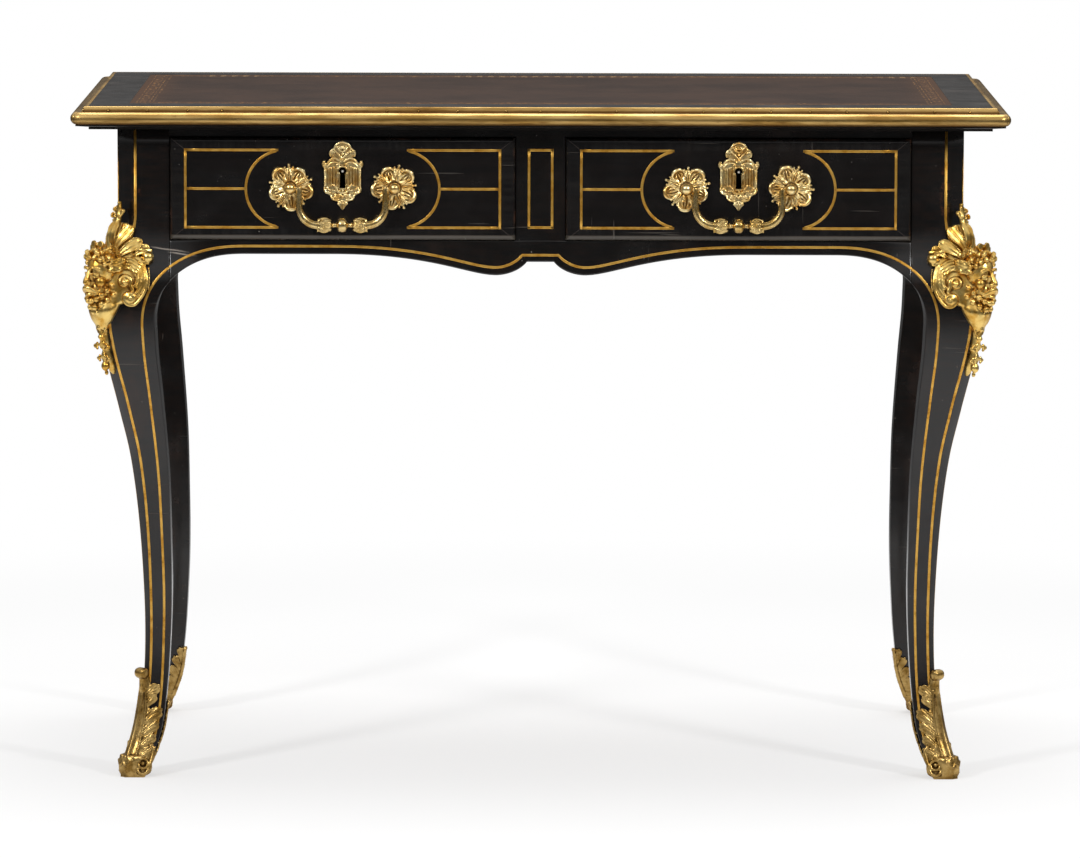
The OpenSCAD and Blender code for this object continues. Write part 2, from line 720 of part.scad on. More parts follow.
// Rosette in three tiers of petals round the shank of a handle post
module petals(ring, r, turn) {
    for (i = [0 : petal_count - 1]) rotate(turn + i * 360 / petal_count) translate([ring, 0]) circle(r);
}
module rosettes() {
    gilt() both(post_gap / 2) difference() {
        union() {
            along_y(face_y, face_y + 2.4) translate([0, handle_z]) petals(rosette_d / 2 - 8, 8, 0);
            along_y(face_y, face_y + 4) translate([0, handle_z]) petals(rosette_d / 4 - 1, 5.5, 22.5);
            along_y(face_y, face_y + rosette_t) translate([0, handle_z]) circle(8);
        }
        along_y(face_y - cut, face_y + 2 * rosette_t) translate([0, handle_z]) circle(shank_d / 2 + pin_gap);
    }
}
module handle_posts() {
    gilt() for (s = [0, 1]) mirror([s, 0, 0]) translate([post_gap / 2, 0, handle_z]) difference() {
        union() {
            translate([0, face_y + pivot_out, 0]) sphere(d = ball_d);
            along_y(case_y - wall_t - 4, face_y + pivot_out) circle(d = shank_d);
            along_y(case_y - wall_t - 4, case_y - wall_t) circle(d = 2 * shank_d);
            along_y(face_y + rosette_t, face_y + pivot_out) circle(d = shank_d + 2);
        }
        translate([-ball_d, face_y + pivot_out, 0]) rotate([0, 90, 0])
            cylinder(h = ball_d + 1.5, d = pin_d + 2 * pin_gap);
    }
}

// Bail that hangs from the two posts: pins, bent arms, and a grip turned as cups round a ball
module bail() {
    arm_x = post_gap / 2 - ball_d / 2 - arm_d / 2 - arm_gap;
    turn_r = arm_x - grip_end;
    gilt() translate([0, face_y + pivot_out, handle_z]) {
        for (s = [0, 1]) mirror([s, 0, 0]) {
            translate([arm_x, 0, 0]) rotate([0, 90, 0]) cylinder(h = post_gap / 2 + 1 - arm_x, d = pin_d);
            translate([arm_x, 0, 0]) sphere(d = arm_d);
            translate([arm_x, 0, turn_r - bail_drop]) cylinder(h = bail_drop - turn_r, d = arm_d);
            translate([grip_end, 0, turn_r - bail_drop]) rotate([90, 0, 0])
                rotate([0, 0, -90]) rotate_extrude(angle = 90) translate([turn_r, 0]) circle(d = arm_d);
        }
        translate([0, 0, -bail_drop]) rotate([0, 90, 0]) rotate_extrude() grip_profile();
    }
}
module grip_profile() {
    r = grip_d / 2;
    for (s = [0, 1]) mirror([0, s]) polygon([[0, 0], [r, 0], [r * 0.92, 3], [r * 0.55, 5.2],
        [neck_d / 2, 5.8], [neck_d / 2, 11.6], [r * 0.8, 12], [r, 14.5], [r * 0.95, 18],
        [r * 0.62, 25], [arm_d / 2, grip_end], [0, grip_end]]);
}

module left_drawer_front() { front_bay(-1) drawer_front(); }
module left_drawer_sides() { front_bay(-1) drawer_sides(); }
module left_drawer_back() { front_bay(-1) drawer_back(); }
module left_drawer_bottom() { front_bay(-1) drawer_bottom(); }
module left_lock_case() { front_bay(-1) lock_case(); }
module left_lock_bolt() { front_bay(-1) lock_bolt(); }
module left_keyhole_plate() { front_bay(-1) keyhole_plate(); }
module left_rosettes() { front_bay(-1) rosettes(); }
module left_handle_posts() { front_bay(-1) handle_posts(); }
module left_bail() { front_bay(-1) bail(); }
module left_drawer_strings() { brass() front_bay(-1) along_y(face_y - string_t, face_y) drawer_bands(); }
module right_drawer_front() { front_bay(1) drawer_front(); }
module right_drawer_sides() { front_bay(1) drawer_sides(); }
module right_drawer_back() { front_bay(1) drawer_back(); }
module right_drawer_bottom() { front_bay(1) drawer_bottom(); }
module right_lock_case() { front_bay(1) lock_case(); }
module right_lock_bolt() { front_bay(1) lock_bolt(); }
module right_keyhole_plate() { front_bay(1) keyhole_plate(); }
module right_rosettes() { front_bay(1) rosettes(); }
module right_handle_posts() { front_bay(1) handle_posts(); }
module right_bail() { front_bay(1) bail(); }
module right_drawer_strings() { brass() front_bay(1) along_y(face_y - string_t, face_y) drawer_bands(); }
module rear_keyhole_plates() { back_bays() keyhole_plate(); }
module rear_rosettes() { back_bays() rosettes(); }
module rear_handle_posts() { back_bays() handle_posts(); }
module rear_left_bail() { translate([-drawer_x, 0, 0]) bail(); }
module rear_right_bail() { translate([drawer_x, 0, 0]) bail(); }
module frieze_strings() {
    brass() {
        along_y(-case_y, -case_y + string_t) {
            front_apron_bands();
            mullion_bands();
        }
        along_y(case_y - string_t, case_y) {
            front_apron_bands();
            mullion_bands();
        }
        back_bays() along_y(face_y - string_t, face_y) drawer_bands();
        for (s = [0, 1]) mirror([s, 0, 0]) along_x(case_x - string_t, case_x) {
            side_apron_bands();
            frame_bands(bay_y - frame_in);
        }
    }
}

// Soft blob between two places, each [out, across, up, radius]; out runs along the diagonal
module lobe(a, b) {
    hull() for (p = [a, b]) translate([p[0], p[1], p[2]]) sphere(p[3], $fn = p[3] > 8 ? 8 : 5);
}
// Height from the corner surface of the leg: [out, across, up, radius] standing off by off
function on_leg(off, v, z, r) = [diag_at(z) + off, v, z, r];

// Corner mask: a bearded head in a wreath under a palmette, side scrolls, a mantle and a pendant.
// Heights are counted from the top of the arch
module mask() {
    low = arch_top + mask_top - mask_h;
    eye = arch_top - 21;
    gilt() difference() {
        union() {
            intersection() {
                leg_form(mask_t);
                rotate([0, 0, 45]) along_x(-mask_wrap, through)
                    translate([0, arch_top]) mask_outline(low - arch_top);
            }
            rotate([0, 0, 45]) {
                mask_head(eye);
                mask_wreath(eye);
                mask_crest();
                mask_mantle();
                mask_pendant(low);
            }
            for (m = [0, 1]) mirror([m, -m, 0]) mask_scrolls();
        }
        leg_form();
    }
}
// Outline of the plate that carries the parts, seen along the diagonal
module mask_outline(low) {
    side = [[1.5, mask_top - 3], [5, mask_top - 18], [14, 30], [22, 20], [32, 7], [33, -10],
        [33, -24], [34, -36], [30, -49], [23, -55], [15, -64], [9, -76], [8, -90], [5, -100],
        [5, low + 8], [1, low]];
    polygon(concat(side, mirrored(side)));
}
// Head of a bearded man, calm and plain, looking out from the corner
module mask_head(eye) {
    u = diag_at(eye - 10) + 5;
    lobe([u, 0, eye + 6, 17], [u + 5, 0, eye - 18, 12]);
    lobe([u + 17, 0, eye + 8, 2.4], [u + 24, 0, eye - 8, 3.4]);
    for (s = [-1, 1]) {
        lobe([u + 18, s * 2, eye + 7, 2.6], [u + 13, s * 11, eye + 5, 2.6]);
        lobe([u + 21, s * 2, eye - 14, 2.8], [u + 13, s * 13, eye - 18, 2.8]);
        for (i = [0, 1]) lobe([u + 17 - 8 * i, s * (3.5 + 9 * i), eye - 28 + 8 * i, 5.6],
            [u + 12 - 7 * i, s * (3.5 + 7 * i), eye - 38 + 8 * i, 4.6]);
    }
}
// Curls and leaves round the head
module mask_wreath(eye) {
    u = diag_at(eye - 10) + 5;
    for (a = [0 : 45 : 180]) lobe([u + 12 - 6 * abs(cos(a)), 15 * cos(a), eye + 11 + 13 * sin(a), 5.6],
        [u - 1 - 4 * abs(cos(a)), 21 * cos(a), eye + 8 + 22 * sin(a), 6.6]);
}
// Palmette of five leaves with a budding stem
module mask_crest() {
    stem = arch_top + mask_top;
    lobe(on_leg(17, 0, arch_top + 6, 8.5), on_leg(11, 0, arch_top + 38, 3.6));
    for (s = [-1, 1]) {
        lobe(on_leg(11, s * 9, arch_top + 8, 6), on_leg(6, s * 17, arch_top + 29, 3.8));
        lobe(on_leg(5, s * 16, arch_top + 1, 6), on_leg(1, s * 26, arch_top + 17, 3.8));
    }
    lobe(on_leg(9, 0, arch_top + 38, 2.8), on_leg(8, 0, stem - 3, 2.6));
    lobe(on_leg(8, -8, stem - 10, 2.2), on_leg(8, 8, stem - 10, 2.2));
}
// Smooth cloth gathered under the beard
module mask_mantle() {
    hull() for (p = [[12, 0, -47, 7], [3, -17, -51, 4], [3, 17, -51, 4], [6, 0, -75, 5]])
        translate([diag_at(arch_top + p[2]) + p[0], p[1], arch_top + p[2]]) sphere(p[3], $fn = 6);
}
// Flower, two pairs of berries on their twigs and a bud
module mask_pendant(low) {
    z = arch_top - 81;
    along_x(diag_at(z) - mask_t, diag_at(z) + 7) translate([0, z])
        polygon([for (i = [0 : 9]) let (r = i % 2 == 0 ? 9 : 5.5) [r * sin(36 * i), r * cos(36 * i)]]);
    translate([diag_at(z) + 7.5, 0, z]) sphere(3.4, $fn = 5);
    lobe(on_leg(5, 0, z - 7, 4.6), on_leg(5, 0, z - 36, 3.6));
    for (p = [[9, 22], [7.5, 35]]) lobe(on_leg(6, -p[0], z - p[1], 2.8), on_leg(6, p[0], z - p[1], 2.8));
    lobe(on_leg(4, 0, low + 12, 5.4), on_leg(2, 0, low + 3, 3));
}
// On one face of the leg: a ribbed band that leans with the knee, two volutes and a ball.
// Across is counted from the post's corner
module mask_scrolls() {
    z = arch_top - 47;
    ball_z = arch_top - 2;
    lean = atan((out_at(z) - out_at(ball_z)) / (ball_z - z));
    band = bezier([-26, 46], [-34, 30], [-36, 10], [-22, -2], 4);
    translate([0, out_at(z), z]) rotate([lean, 0, 0]) {
        along_y(-scroll_root, 7) polygon(strip(band, 4));
        along_y(-scroll_root, 5) polygon(strip([for (p = band) p + [5, 1]], 7));
    }
    // each volute: across, up, radius, height over the knee
    for (roll = [[-15.7, 0, 9, 7], [-9.6, 18, 8, 9]])
        translate([roll[0], out_at(z) - scroll_root, z + roll[1]]) rotate([-90, 0, 0]) {
            cylinder(h = scroll_root + roll[3], r = roll[2], $fn = 14);
            cylinder(h = scroll_root + roll[3] + 4, r = roll[2] / 2, $fn = 8);
        }
    translate([-35, out_at(ball_z) + 4, ball_z]) sphere(6.9, $fn = 8);
}

// Sabot: a cup round the foot, an outer leaf, a smaller inner leaf, and a scrolled toe
module sabot() {
    gilt() difference() {
        union() {
            intersection() {
                leg_form(sabot_t);
                union() {
                    translate([-through, -through, 0]) cube([2 * through, 2 * through, 28]);
                    rotate([0, 0, 45]) along_x(-leaf_wrap, through) outer_leaf();
                    rotate([0, 0, 45]) along_x(-through, -leaf_wrap) inner_leaf();
                }
            }
            rotate([0, 0, 45]) {
                lobe(on_leg(2.5, 0, 28, 4), on_leg(2, 0, sabot_h - 8, 3));
                for (s = [-1, 1]) {
                    lobe(on_leg(0, s * 4, sabot_h - 40, 2.6), on_leg(-2, s * 12, sabot_h - 12, 2.4));
                    lobe(on_leg(0, s * 5, 40, 3), on_leg(-4, s * 17, 68, 2.6));
                }
                translate([diag_at(sabot_h) + 5, 0, sabot_h]) sphere(6.4, $fn = 8);
                translate([-18.5, 0, toe_r]) rotate([90, 0, 0]) {
                    cylinder(h = 22, r = toe_r, center = true, $fn = 16);
                    cylinder(h = 26, r = toe_r * 0.7, center = true, $fn = 12);
                    cylinder(h = 30, r = toe_r * 0.35, center = true, $fn = 7);
                }
            }
        }
        leg_form();
        translate([-through, -through, -through]) cube([2 * through, 2 * through, through]);
    }
}
// Outlines of the sabot's leaves, seen along the diagonal, with three and two lobes to a side
module outer_leaf() {
    side = [[2, sabot_h + 2], [5, sabot_h - 8], [14, sabot_h - 10], [12, sabot_h - 24], [9, sabot_h - 36],
        [17, sabot_h - 42], [18, 58], [13, 48], [20, 42], [21, 20]];
    polygon(concat(side, mirrored(side)));
}
module inner_leaf() {
    side = [[1, inner_leaf_h], [7, inner_leaf_h - 12], [5, inner_leaf_h - 20],
        [12, inner_leaf_h - 32], [10, inner_leaf_h - 40], [20, 30], [20, 20]];
    polygon(concat(side, mirrored(side)));
}

module mask_front_left() { corner(-1, -1) mask(); }
module mask_front_right() { corner(1, -1) mask(); }
module mask_back_left() { corner(-1, 1) mask(); }
module mask_back_right() { corner(1, 1) mask(); }
module sabot_front_left() { corner(-1, -1) sabot(); }
module sabot_front_right() { corner(1, -1) sabot(); }
module sabot_back_left() { corner(-1, 1) sabot(); }
module sabot_back_right() { corner(1, 1) sabot(); }

top_board();
leather_skin();
top_edge_front();
top_edge_back();
top_edge_left();
top_edge_right();
top_screws();
leg_front_left();
leg_front_right();
leg_back_left();
leg_back_right();
front_apron_rail();
front_top_rail();
mullion();
rear_frieze();
rear_panels();
side_frieze_left();
side_frieze_right();
bearer_rails();
drawer_runners();
drawer_guides();
drawer_kickers();
glue_blocks();
left_drawer_front();
left_drawer_sides();
left_drawer_back();
left_drawer_bottom();
right_drawer_front();
right_drawer_sides();
right_drawer_back();
right_drawer_bottom();
left_lock_case();
left_lock_bolt();
right_lock_case();
right_lock_bolt();
left_keyhole_plate();
right_keyhole_plate();
left_rosettes();
right_rosettes();
left_handle_posts();
right_handle_posts();
left_bail();
right_bail();
rear_keyhole_plates();
rear_rosettes();
rear_handle_posts();
rear_left_bail();
rear_right_bail();
mask_front_left();
mask_front_right();
mask_back_left();
mask_back_right();
sabot_front_left();
sabot_front_right();
sabot_back_left();
sabot_back_right();
left_drawer_strings();
right_drawer_strings();
frieze_strings();
leg_strings();
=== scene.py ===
import math
import random

import bpy
import numpy as np
from mathutils import Matrix, Vector
from mathutils.kdtree import KDTree


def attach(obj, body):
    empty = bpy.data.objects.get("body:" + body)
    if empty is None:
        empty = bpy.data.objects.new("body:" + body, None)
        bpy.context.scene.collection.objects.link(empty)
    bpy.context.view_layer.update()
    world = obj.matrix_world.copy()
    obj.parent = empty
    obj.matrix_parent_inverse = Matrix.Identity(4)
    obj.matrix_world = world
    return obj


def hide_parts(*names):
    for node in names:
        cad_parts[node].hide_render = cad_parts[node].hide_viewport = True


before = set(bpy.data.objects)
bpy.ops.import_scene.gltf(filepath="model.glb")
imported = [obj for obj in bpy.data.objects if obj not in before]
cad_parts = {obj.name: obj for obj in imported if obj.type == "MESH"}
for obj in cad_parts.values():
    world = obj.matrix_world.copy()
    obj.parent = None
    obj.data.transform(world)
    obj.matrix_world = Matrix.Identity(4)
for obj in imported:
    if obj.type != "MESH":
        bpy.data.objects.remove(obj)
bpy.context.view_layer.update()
print("frame loaded")

mm = 0.001
# Main sizes of the desk in millimetres, as in the part's source
desk = {
    "width": 1050, "depth": 600, "height": 762, "edgeWidth": 20,
    "caseX": 475, "caseY": 260, "caseTop": 736, "postWidth": 59, "wall": 22,
    "openBottom": 611, "archTop": 594.7, "kneeZ": 515,
    "archWidth": 102, "archHeight": 79.7, "archPower": 2.3, "kneeIn": 16.3,
    "faceY": 266, "drawerX": 221.75, "mullion": 55, "border": 43, "keyZ": 688.7,
}
# A drawer's front and its stringing: the margins of the stringing and the centre of its rings
frontPanel = {"low": desk["openBottom"] + 0.3, "height": 114.9, "width": 386.9, "top": 14, "side": 17.3,
              "ring": 65}
archTop, kneeZ, postWidth = desk["archTop"], desk["kneeZ"], desk["postWidth"]
caseX, caseY = desk["caseX"], desk["caseY"]
innerX, innerY = desk["width"] / 2 - desk["edgeWidth"], desk["depth"] / 2 - desk["edgeWidth"]
bayX, bayY = caseX - postWidth, caseY - postWidth
corners = {"front_left": (-1, -1), "front_right": (1, -1), "back_left": (-1, 1), "back_right": (1, 1)}

# Curves of a leg: height and offset from the post's outer face, inner face, and the cant of its corner
legOut = [
    (0, -2), (23, -10), (45, -17), (90, -25), (140, -28.2), (202, -27.7), (292, -22.1),
    (archTop - 231, -13.2), (archTop - 177, -1.4), (archTop - 105, 14.8), (archTop - 59, 19.6),
    (archTop - 25, 15.8), (archTop + 5, 5.5), (archTop + 35, 0), (desk["caseTop"], 0),
]
legIn = [
    (0, 31), (28, 19.5), (52, 11.6), (89, 6.4), (137, 2.6), (202, 0.1), (270, 0.7),
    (kneeZ - 169, 2.9), (kneeZ - 80, 10), (kneeZ - 35, 14.5), (kneeZ, 16.3),
]
legCant = [
    (0, 5), (165, 5.5), (300, 8), (archTop - 165, 10.5), (archTop - 63, 9.5),
    (archTop - 15, 12), (archTop + 45, 19), (desk["caseTop"], 19),
]
innerString = [(0, 6), (90, 6.5), (165, 8), (kneeZ - 80, 13), (kneeZ, 14)]


def curve(points, x):
    i = 0
    while i < len(points) - 2 and x > points[i + 1][0]:
        i += 1

    def slope(k):
        a, b = points[max(k - 1, 0)], points[min(k + 1, len(points) - 1)]
        return (b[1] - a[1]) / (b[0] - a[0])

    h = points[i + 1][0] - points[i][0]
    t = min(max((x - points[i][0]) / h, 0), 1)
    return ((1 + 2 * t) * (1 - t) ** 2 * points[i][1] + t * (1 - t) ** 2 * h * slope(i)
            + t * t * (3 - 2 * t) * points[i + 1][1] + t * t * (t - 1) * h * slope(i + 1))


archX = desk["kneeIn"] - desk["archWidth"]
archPower = desk["archPower"]


def archEnd(w):
    return math.acos((-archX / w) ** (archPower / 2))


def archPoint(w, h, a):
    return (archX + w * max(math.cos(a), 0) ** (2 / archPower), kneeZ + h * math.sin(a) ** (2 / archPower))


jointZ = archPoint(desk["archWidth"], desk["archHeight"], archEnd(desk["archWidth"]))[1]


def outAt(z):
    return curve(legOut, z)


def inAt(z):
    if z <= kneeZ:
        return curve(legIn, z)
    if z < jointZ - 0.01:
        high = (z - kneeZ) / desk["archHeight"]
        return archX + desk["archWidth"] * (1 - high ** archPower) ** (1 / archPower)
    return 0


def cantAt(z):
    return curve(legCant, z)


def diagAt(z):
    return (2 * outAt(z) - cantAt(z)) / math.sqrt(2)


def smoothstep(t):
    t = np.clip(t, 0, 1)
    return t * t * (3 - 2 * t)


def addToScene(name, data):
    thing = bpy.data.objects.new(name, data)
    bpy.context.scene.collection.objects.link(thing)
    return thing


# The object's evaluated mesh; the object itself goes
def evaluated(thing):
    bpy.context.view_layer.update()
    done = bpy.data.meshes.new_from_object(thing.evaluated_get(bpy.context.evaluated_depsgraph_get()))
    bpy.data.objects.remove(thing)
    return done


# Shells are (points, faces) with points in millimetres
def makePiece(name, points, faces, material):
    mesh = bpy.data.meshes.new(name)
    mesh.from_pydata((np.asarray(points, float) * mm).tolist(), [], faces)
    mesh.update()
    mesh.materials.append(material)
    mesh.shade_smooth()
    return addToScene(name, mesh)


def mount(piece, body, hidden):
    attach(piece, body)
    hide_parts(hidden)


def joinShells(shells):
    points, faces, start = [], [], 0
    for p, f in shells:
        points.append(np.asarray(p, float))
        faces += [[i + start for i in face] for face in f]
        start += len(p)
    return np.concatenate(points), faces


def turnFaces(faces):
    return [list(reversed(f)) for f in faces]


# Shells with their twins across a corner's diagonal, and across x = 0
def swapped(shells):
    return shells + [(p[:, [1, 0, 2]], turnFaces(f)) for p, f in shells]


def mirrored(shells):
    return shells + [(p * [-1, 1, 1], turnFaces(f)) for p, f in shells]


def gridFaces(rows, columns, closed=False):
    faces = []
    for i in range(rows - 1):
        for j in range(columns if closed else columns - 1):
            k = (j + 1) % columns
            faces.append([i * columns + j, i * columns + k, (i + 1) * columns + k, (i + 1) * columns + j])
    return faces


# Closed loft through rings of equal length, with fans at both ends
def loft(rings):
    count = len(rings[0])
    points = np.concatenate([np.asarray(r, float) for r in rings])
    faces = gridFaces(len(rings), count, True)
    ends = [np.mean(rings[0], axis=0), np.mean(rings[-1], axis=0)]
    first, last = len(points), len(points) + 1
    points = np.concatenate([points, ends])
    base = (len(rings) - 1) * count
    for j in range(count):
        k = (j + 1) % count
        faces.append([first, k, j])
        faces.append([last, base + j, base + k])
    return points, faces


def volumeOf(points, faces):
    triangles = np.array([[f[0], f[k], f[k + 1]] for f in faces for k in range(1, len(f) - 1)])
    a, b, c = (points[triangles[:, k]] for k in range(3))
    return (a * np.cross(b, c)).sum() / 6


def outward(shell):
    points, faces = np.asarray(shell[0], float), shell[1]
    return (points, turnFaces(faces)) if volumeOf(points, faces) < 0 else (points, faces)


def unit(v):
    v = np.asarray(v, float)
    return v / max(np.linalg.norm(v), 1e-9)


# Round bar along a path, with a radius at each point and rounded ends
def tube(path, radii, sides=8, flat=1.0, normal=None):
    path = np.asarray(path, float)
    n = len(path)
    radii = np.ones(n) * radii
    along = np.gradient(path, axis=0)
    ref = np.asarray(normal, float) if normal is not None else unit(np.cross(along[0], [0.3, 0.5, 0.8]))
    rings = []
    for i in range(n):
        t = unit(along[i])
        ref = unit(ref - t * np.dot(ref, t))
        side = np.cross(t, ref)
        a = np.linspace(0, 2 * math.pi, sides, endpoint=False)
        ring = path[i] + radii[i] * (np.outer(np.cos(a), ref) * flat + np.outer(np.sin(a), side))
        if i == 0:
            rings.append(path[0] - t * radii[0] * 0.6 + (ring - path[0]) * 0.55)
        rings.append(ring)
        if i == n - 1:
            rings.append(path[-1] + t * radii[-1] * 0.6 + (ring - path[-1]) * 0.55)
    return outward(loft(rings))


def ball(centre, radii, rings=7, sides=12, axes=None):
    radii = np.ones(3) * radii
    loops = []
    for i in range(1, rings):
        a = math.pi * i / rings
        b = np.linspace(0, 2 * math.pi, sides, endpoint=False)
        loop = np.stack([np.cos(b) * math.sin(a), np.sin(b) * math.sin(a), np.full(sides, math.cos(a))], 1)
        loops.append(loop * radii)
    points, faces = loft(loops)
    points[-2] = [0, 0, radii[2]]
    points[-1] = [0, 0, -radii[2]]
    if axes is not None:
        points = points @ np.asarray(axes, float)
    return outward((points + np.asarray(centre, float), faces))


# Acanthus leaf from root to tip. up is the way its face looks, lift its bulge, curl the roll of its tip
def leaf(root, tip, up, width, lift=3.0, curl=3.0, lobes=3, thick=1.3, rib=0.9, steps=18, across=11,
         twist=0.0):
    root, tip, up = (np.asarray(v, float) for v in (root, tip, up))
    span = tip - root
    length = np.linalg.norm(span)
    t = unit(span)
    up = unit(up - t * np.dot(up, t))
    side = np.cross(t, up)
    top, low = [], []
    for i in range(steps + 1):
        s = i / steps
        bulge = lift * math.sin(math.pi * min(s * 1.15, 1)) + curl * max(s - 0.72, 0) ** 2 * 12
        shape = math.sin(math.pi * (0.12 + 0.88 * s) ** 0.8) ** 0.8 if s < 1 else 0.06
        notch = 1 - 0.3 * abs(math.sin(math.pi * lobes * s)) ** 4 * (1 if 0.08 < s < 0.94 else 0)
        half = max(width / 2 * shape * notch, 0.35)
        centre = root + t * length * s + side * twist * math.sin(math.pi * s)
        rowTop, rowLow = [], []
        for j in range(across):
            v = -1 + 2 * j / (across - 1)
            flute = 0.5 * rib * math.cos(v * math.pi * 4) * (1 - abs(v) ** 3)
            vein = rib * math.exp(-(v / 0.16) ** 2)
            h = bulge + vein + flute - 0.28 * half * v * v
            p = centre + side * half * v + up * h + t * abs(v) * half * 0.35
            edge = thick * (1 - 0.45 * v * v)
            rowTop.append(p)
            rowLow.append(p - up * (edge + 0.6))
        top.append(rowTop)
        low.append(rowLow)
    rings = [top[i] + low[i][::-1] for i in range(steps + 1)]
    return outward(loft(rings))


def spiral(centre, axisA, axisB, start, end, turns, phase=0.0, steps=26):
    centre, axisA, axisB = (np.asarray(v, float) for v in (centre, axisA, axisB))
    path = []
    for i in range(steps + 1):
        s = i / steps
        r = start + (end - start) * s ** 0.85
        a = phase + 2 * math.pi * turns * s
        path.append(centre + axisA * r * math.cos(a) + axisB * r * math.sin(a))
    return path


def bend(points, steps=16):
    # smooth path through a few points
    points = np.asarray(points, float)
    n = len(points)
    out = []
    for i in range(n - 1):
        p0, p1, p2, p3 = points[max(i - 1, 0)], points[i], points[i + 1], points[min(i + 2, n - 1)]
        for k in range(steps):
            t = k / steps
            out.append(0.5 * ((2 * p1) + (p2 - p0) * t + (2 * p0 - 5 * p1 + 4 * p2 - p3) * t * t
                              + (3 * p1 - p0 - 3 * p2 + p3) * t ** 3))
    out.append(points[-1])
    return np.array(out)


def readMesh(mesh):
    points = np.empty(len(mesh.vertices) * 3)
    mesh.vertices.foreach_get("co", points)
    return points.reshape(-1, 3)


def meshEdges(mesh):
    edges = np.empty(len(mesh.edges) * 2, dtype=np.int64)
    mesh.edges.foreach_get("vertices", edges)
    return edges.reshape(-1, 2)


def relax(points, edges, steps, share=0.5):
    n = len(points)
    count = np.maximum(np.bincount(edges.ravel(), minlength=n), 1)[:, None]
    for _ in range(steps):
        total = np.empty_like(points)
        for axis in range(3):
            total[:, axis] = (np.bincount(edges[:, 0], points[edges[:, 1], axis], n)
                              + np.bincount(edges[:, 1], points[edges[:, 0], axis], n))
        points = points + (total / count - points) * share
    return points


# Points and faces of a mesh, in millimetres; the mesh itself goes
def readShell(mesh):
    shell = readMesh(mesh) / mm, [list(p.vertices) for p in mesh.polygons]
    bpy.data.meshes.remove(mesh)
    return shell


# One cast skin out of overlapping shells. Its hollows, kept as an attribute, are where the skin lies
# under a smoother one. The skin is then thinned, and each point takes the hollow of the nearest old one
def cast(name, shells, voxel, soften=2, hollowSteps=14, hollowSize=0.5, keep=0.45):
    points, faces = joinShells(shells)
    mesh = bpy.data.meshes.new(name + "Raw")
    mesh.from_pydata((points * mm).tolist(), [], faces)
    raw = addToScene(name + "Raw", mesh)
    skin = raw.modifiers.new("skin", "REMESH")
    skin.mode = "VOXEL"
    skin.voxel_size = voxel * mm
    done = evaluated(raw)
    edges = meshEdges(done)
    points = relax(readMesh(done) / mm, edges, soften)
    smooth = relax(points, edges, hollowSteps)
    done.vertices.foreach_set("co", (points * mm).ravel())
    done.update()
    normals = np.empty(len(points) * 3)
    done.vertex_normals.foreach_get("vector", normals)
    depth = ((smooth - points) * normals.reshape(-1, 3)).sum(1) / hollowSize
    near = KDTree(len(points))
    for k, point in enumerate(points.tolist()):
        near.insert(point, k)
    near.balance()
    dense = addToScene(name + "Dense", done)
    dense.modifiers.new("thin", "DECIMATE").ratio = keep
    points, faces = readShell(evaluated(dense))
    depth = depth[[near.find(point)[1] for point in points.tolist()]]
    return {"points": points, "faces": faces, "hollowAndShade": np.clip(depth, -1, 1)}


def setHollow(piece, values):
    attribute = piece.data.attributes.new("hollowAndShade", "FLOAT", "POINT")
    attribute.data.foreach_set("value", values.astype(np.float32))


def castPiece(name, shape, material, move=None, flip=False):
    points = shape["points"] if move is None else move(shape["points"])
    piece = makePiece(name, points, turnFaces(shape["faces"]) if flip else shape["faces"], material)
    setHollow(piece, shape["hollowAndShade"])
    return piece


def toCorner(sx, sy):
    return lambda p: np.stack([sx * (caseX + p[:, 0]), sy * (caseY + p[:, 1]), p[:, 2]], 1)


# Value in a node tree: sums of fields make math nodes
class Field:
    def __init__(self, socket):
        self.socket = socket

    def __add__(self, other):
        return maths("ADD", self, other)

    def __sub__(self, other):
        return maths("SUBTRACT", self, other)

    def __rsub__(self, other):
        return maths("SUBTRACT", other, self)

    def __mul__(self, other):
        return maths("MULTIPLY", self, other)

    def __abs__(self):
        return maths("ABSOLUTE", self)


def treeOf(*values):
    return next(v.socket.id_data for v in values if isinstance(v, Field))


def addNode(tree, kind, **settings):
    node = tree.nodes.new(kind)
    for key, value in settings.items():
        setattr(node, key, value)
    return node


def feed(socket, value):
    if isinstance(value, Field):
        socket.id_data.links.new(value.socket, socket)
    elif value is not None:
        socket.default_value = value


def makeField(tree, kind, inputs=None, output=0, **settings):
    node = addNode(tree, kind, **settings)
    for key, value in (inputs or {}).items():
        feed(node.inputs[key], value)
    return Field(node.outputs[output])


def fieldsOf(node):
    return {socket.name: Field(socket) for socket in node.outputs if socket.name}


def maths(operation, *values, clamp=False):
    return makeField(treeOf(*values), "ShaderNodeMath", dict(enumerate(values)), operation=operation,
                     use_clamp=clamp)


def mixTone(factor, a, b):
    return makeField(treeOf(factor, a, b), "ShaderNodeMix", {0: factor, 6: a, 7: b}, 2, data_type="RGBA")


def ramp(value, low, high, toLow=0.0, toHigh=1.0):
    inputs = {0: value, 1: low, 2: high, 3: toLow, 4: toHigh}
    return makeField(treeOf(value), "ShaderNodeMapRange", inputs, interpolation_type="SMOOTHSTEP")


def noiseAt(vector, scale, detail=3.0, roughness=0.5, distortion=0.0):
    inputs = {"Vector": vector, "Scale": scale, "Detail": detail, "Roughness": roughness,
              "Distortion": distortion}
    return makeField(treeOf(vector), "ShaderNodeTexNoise", inputs)


def stretched(vector, scale, turn=(0, 0, 0), move=(0, 0, 0)):
    inputs = {"Vector": vector, "Scale": scale, "Rotation": turn, "Location": move}
    return makeField(treeOf(vector), "ShaderNodeMapping", inputs)


# Noise drawn out along an axis: the scale of each axis, detail, roughness
def grainAt(vector, scale, detail, roughness, distortion=0.0):
    return noiseAt(stretched(vector, scale), 1.0, detail, roughness, distortion)


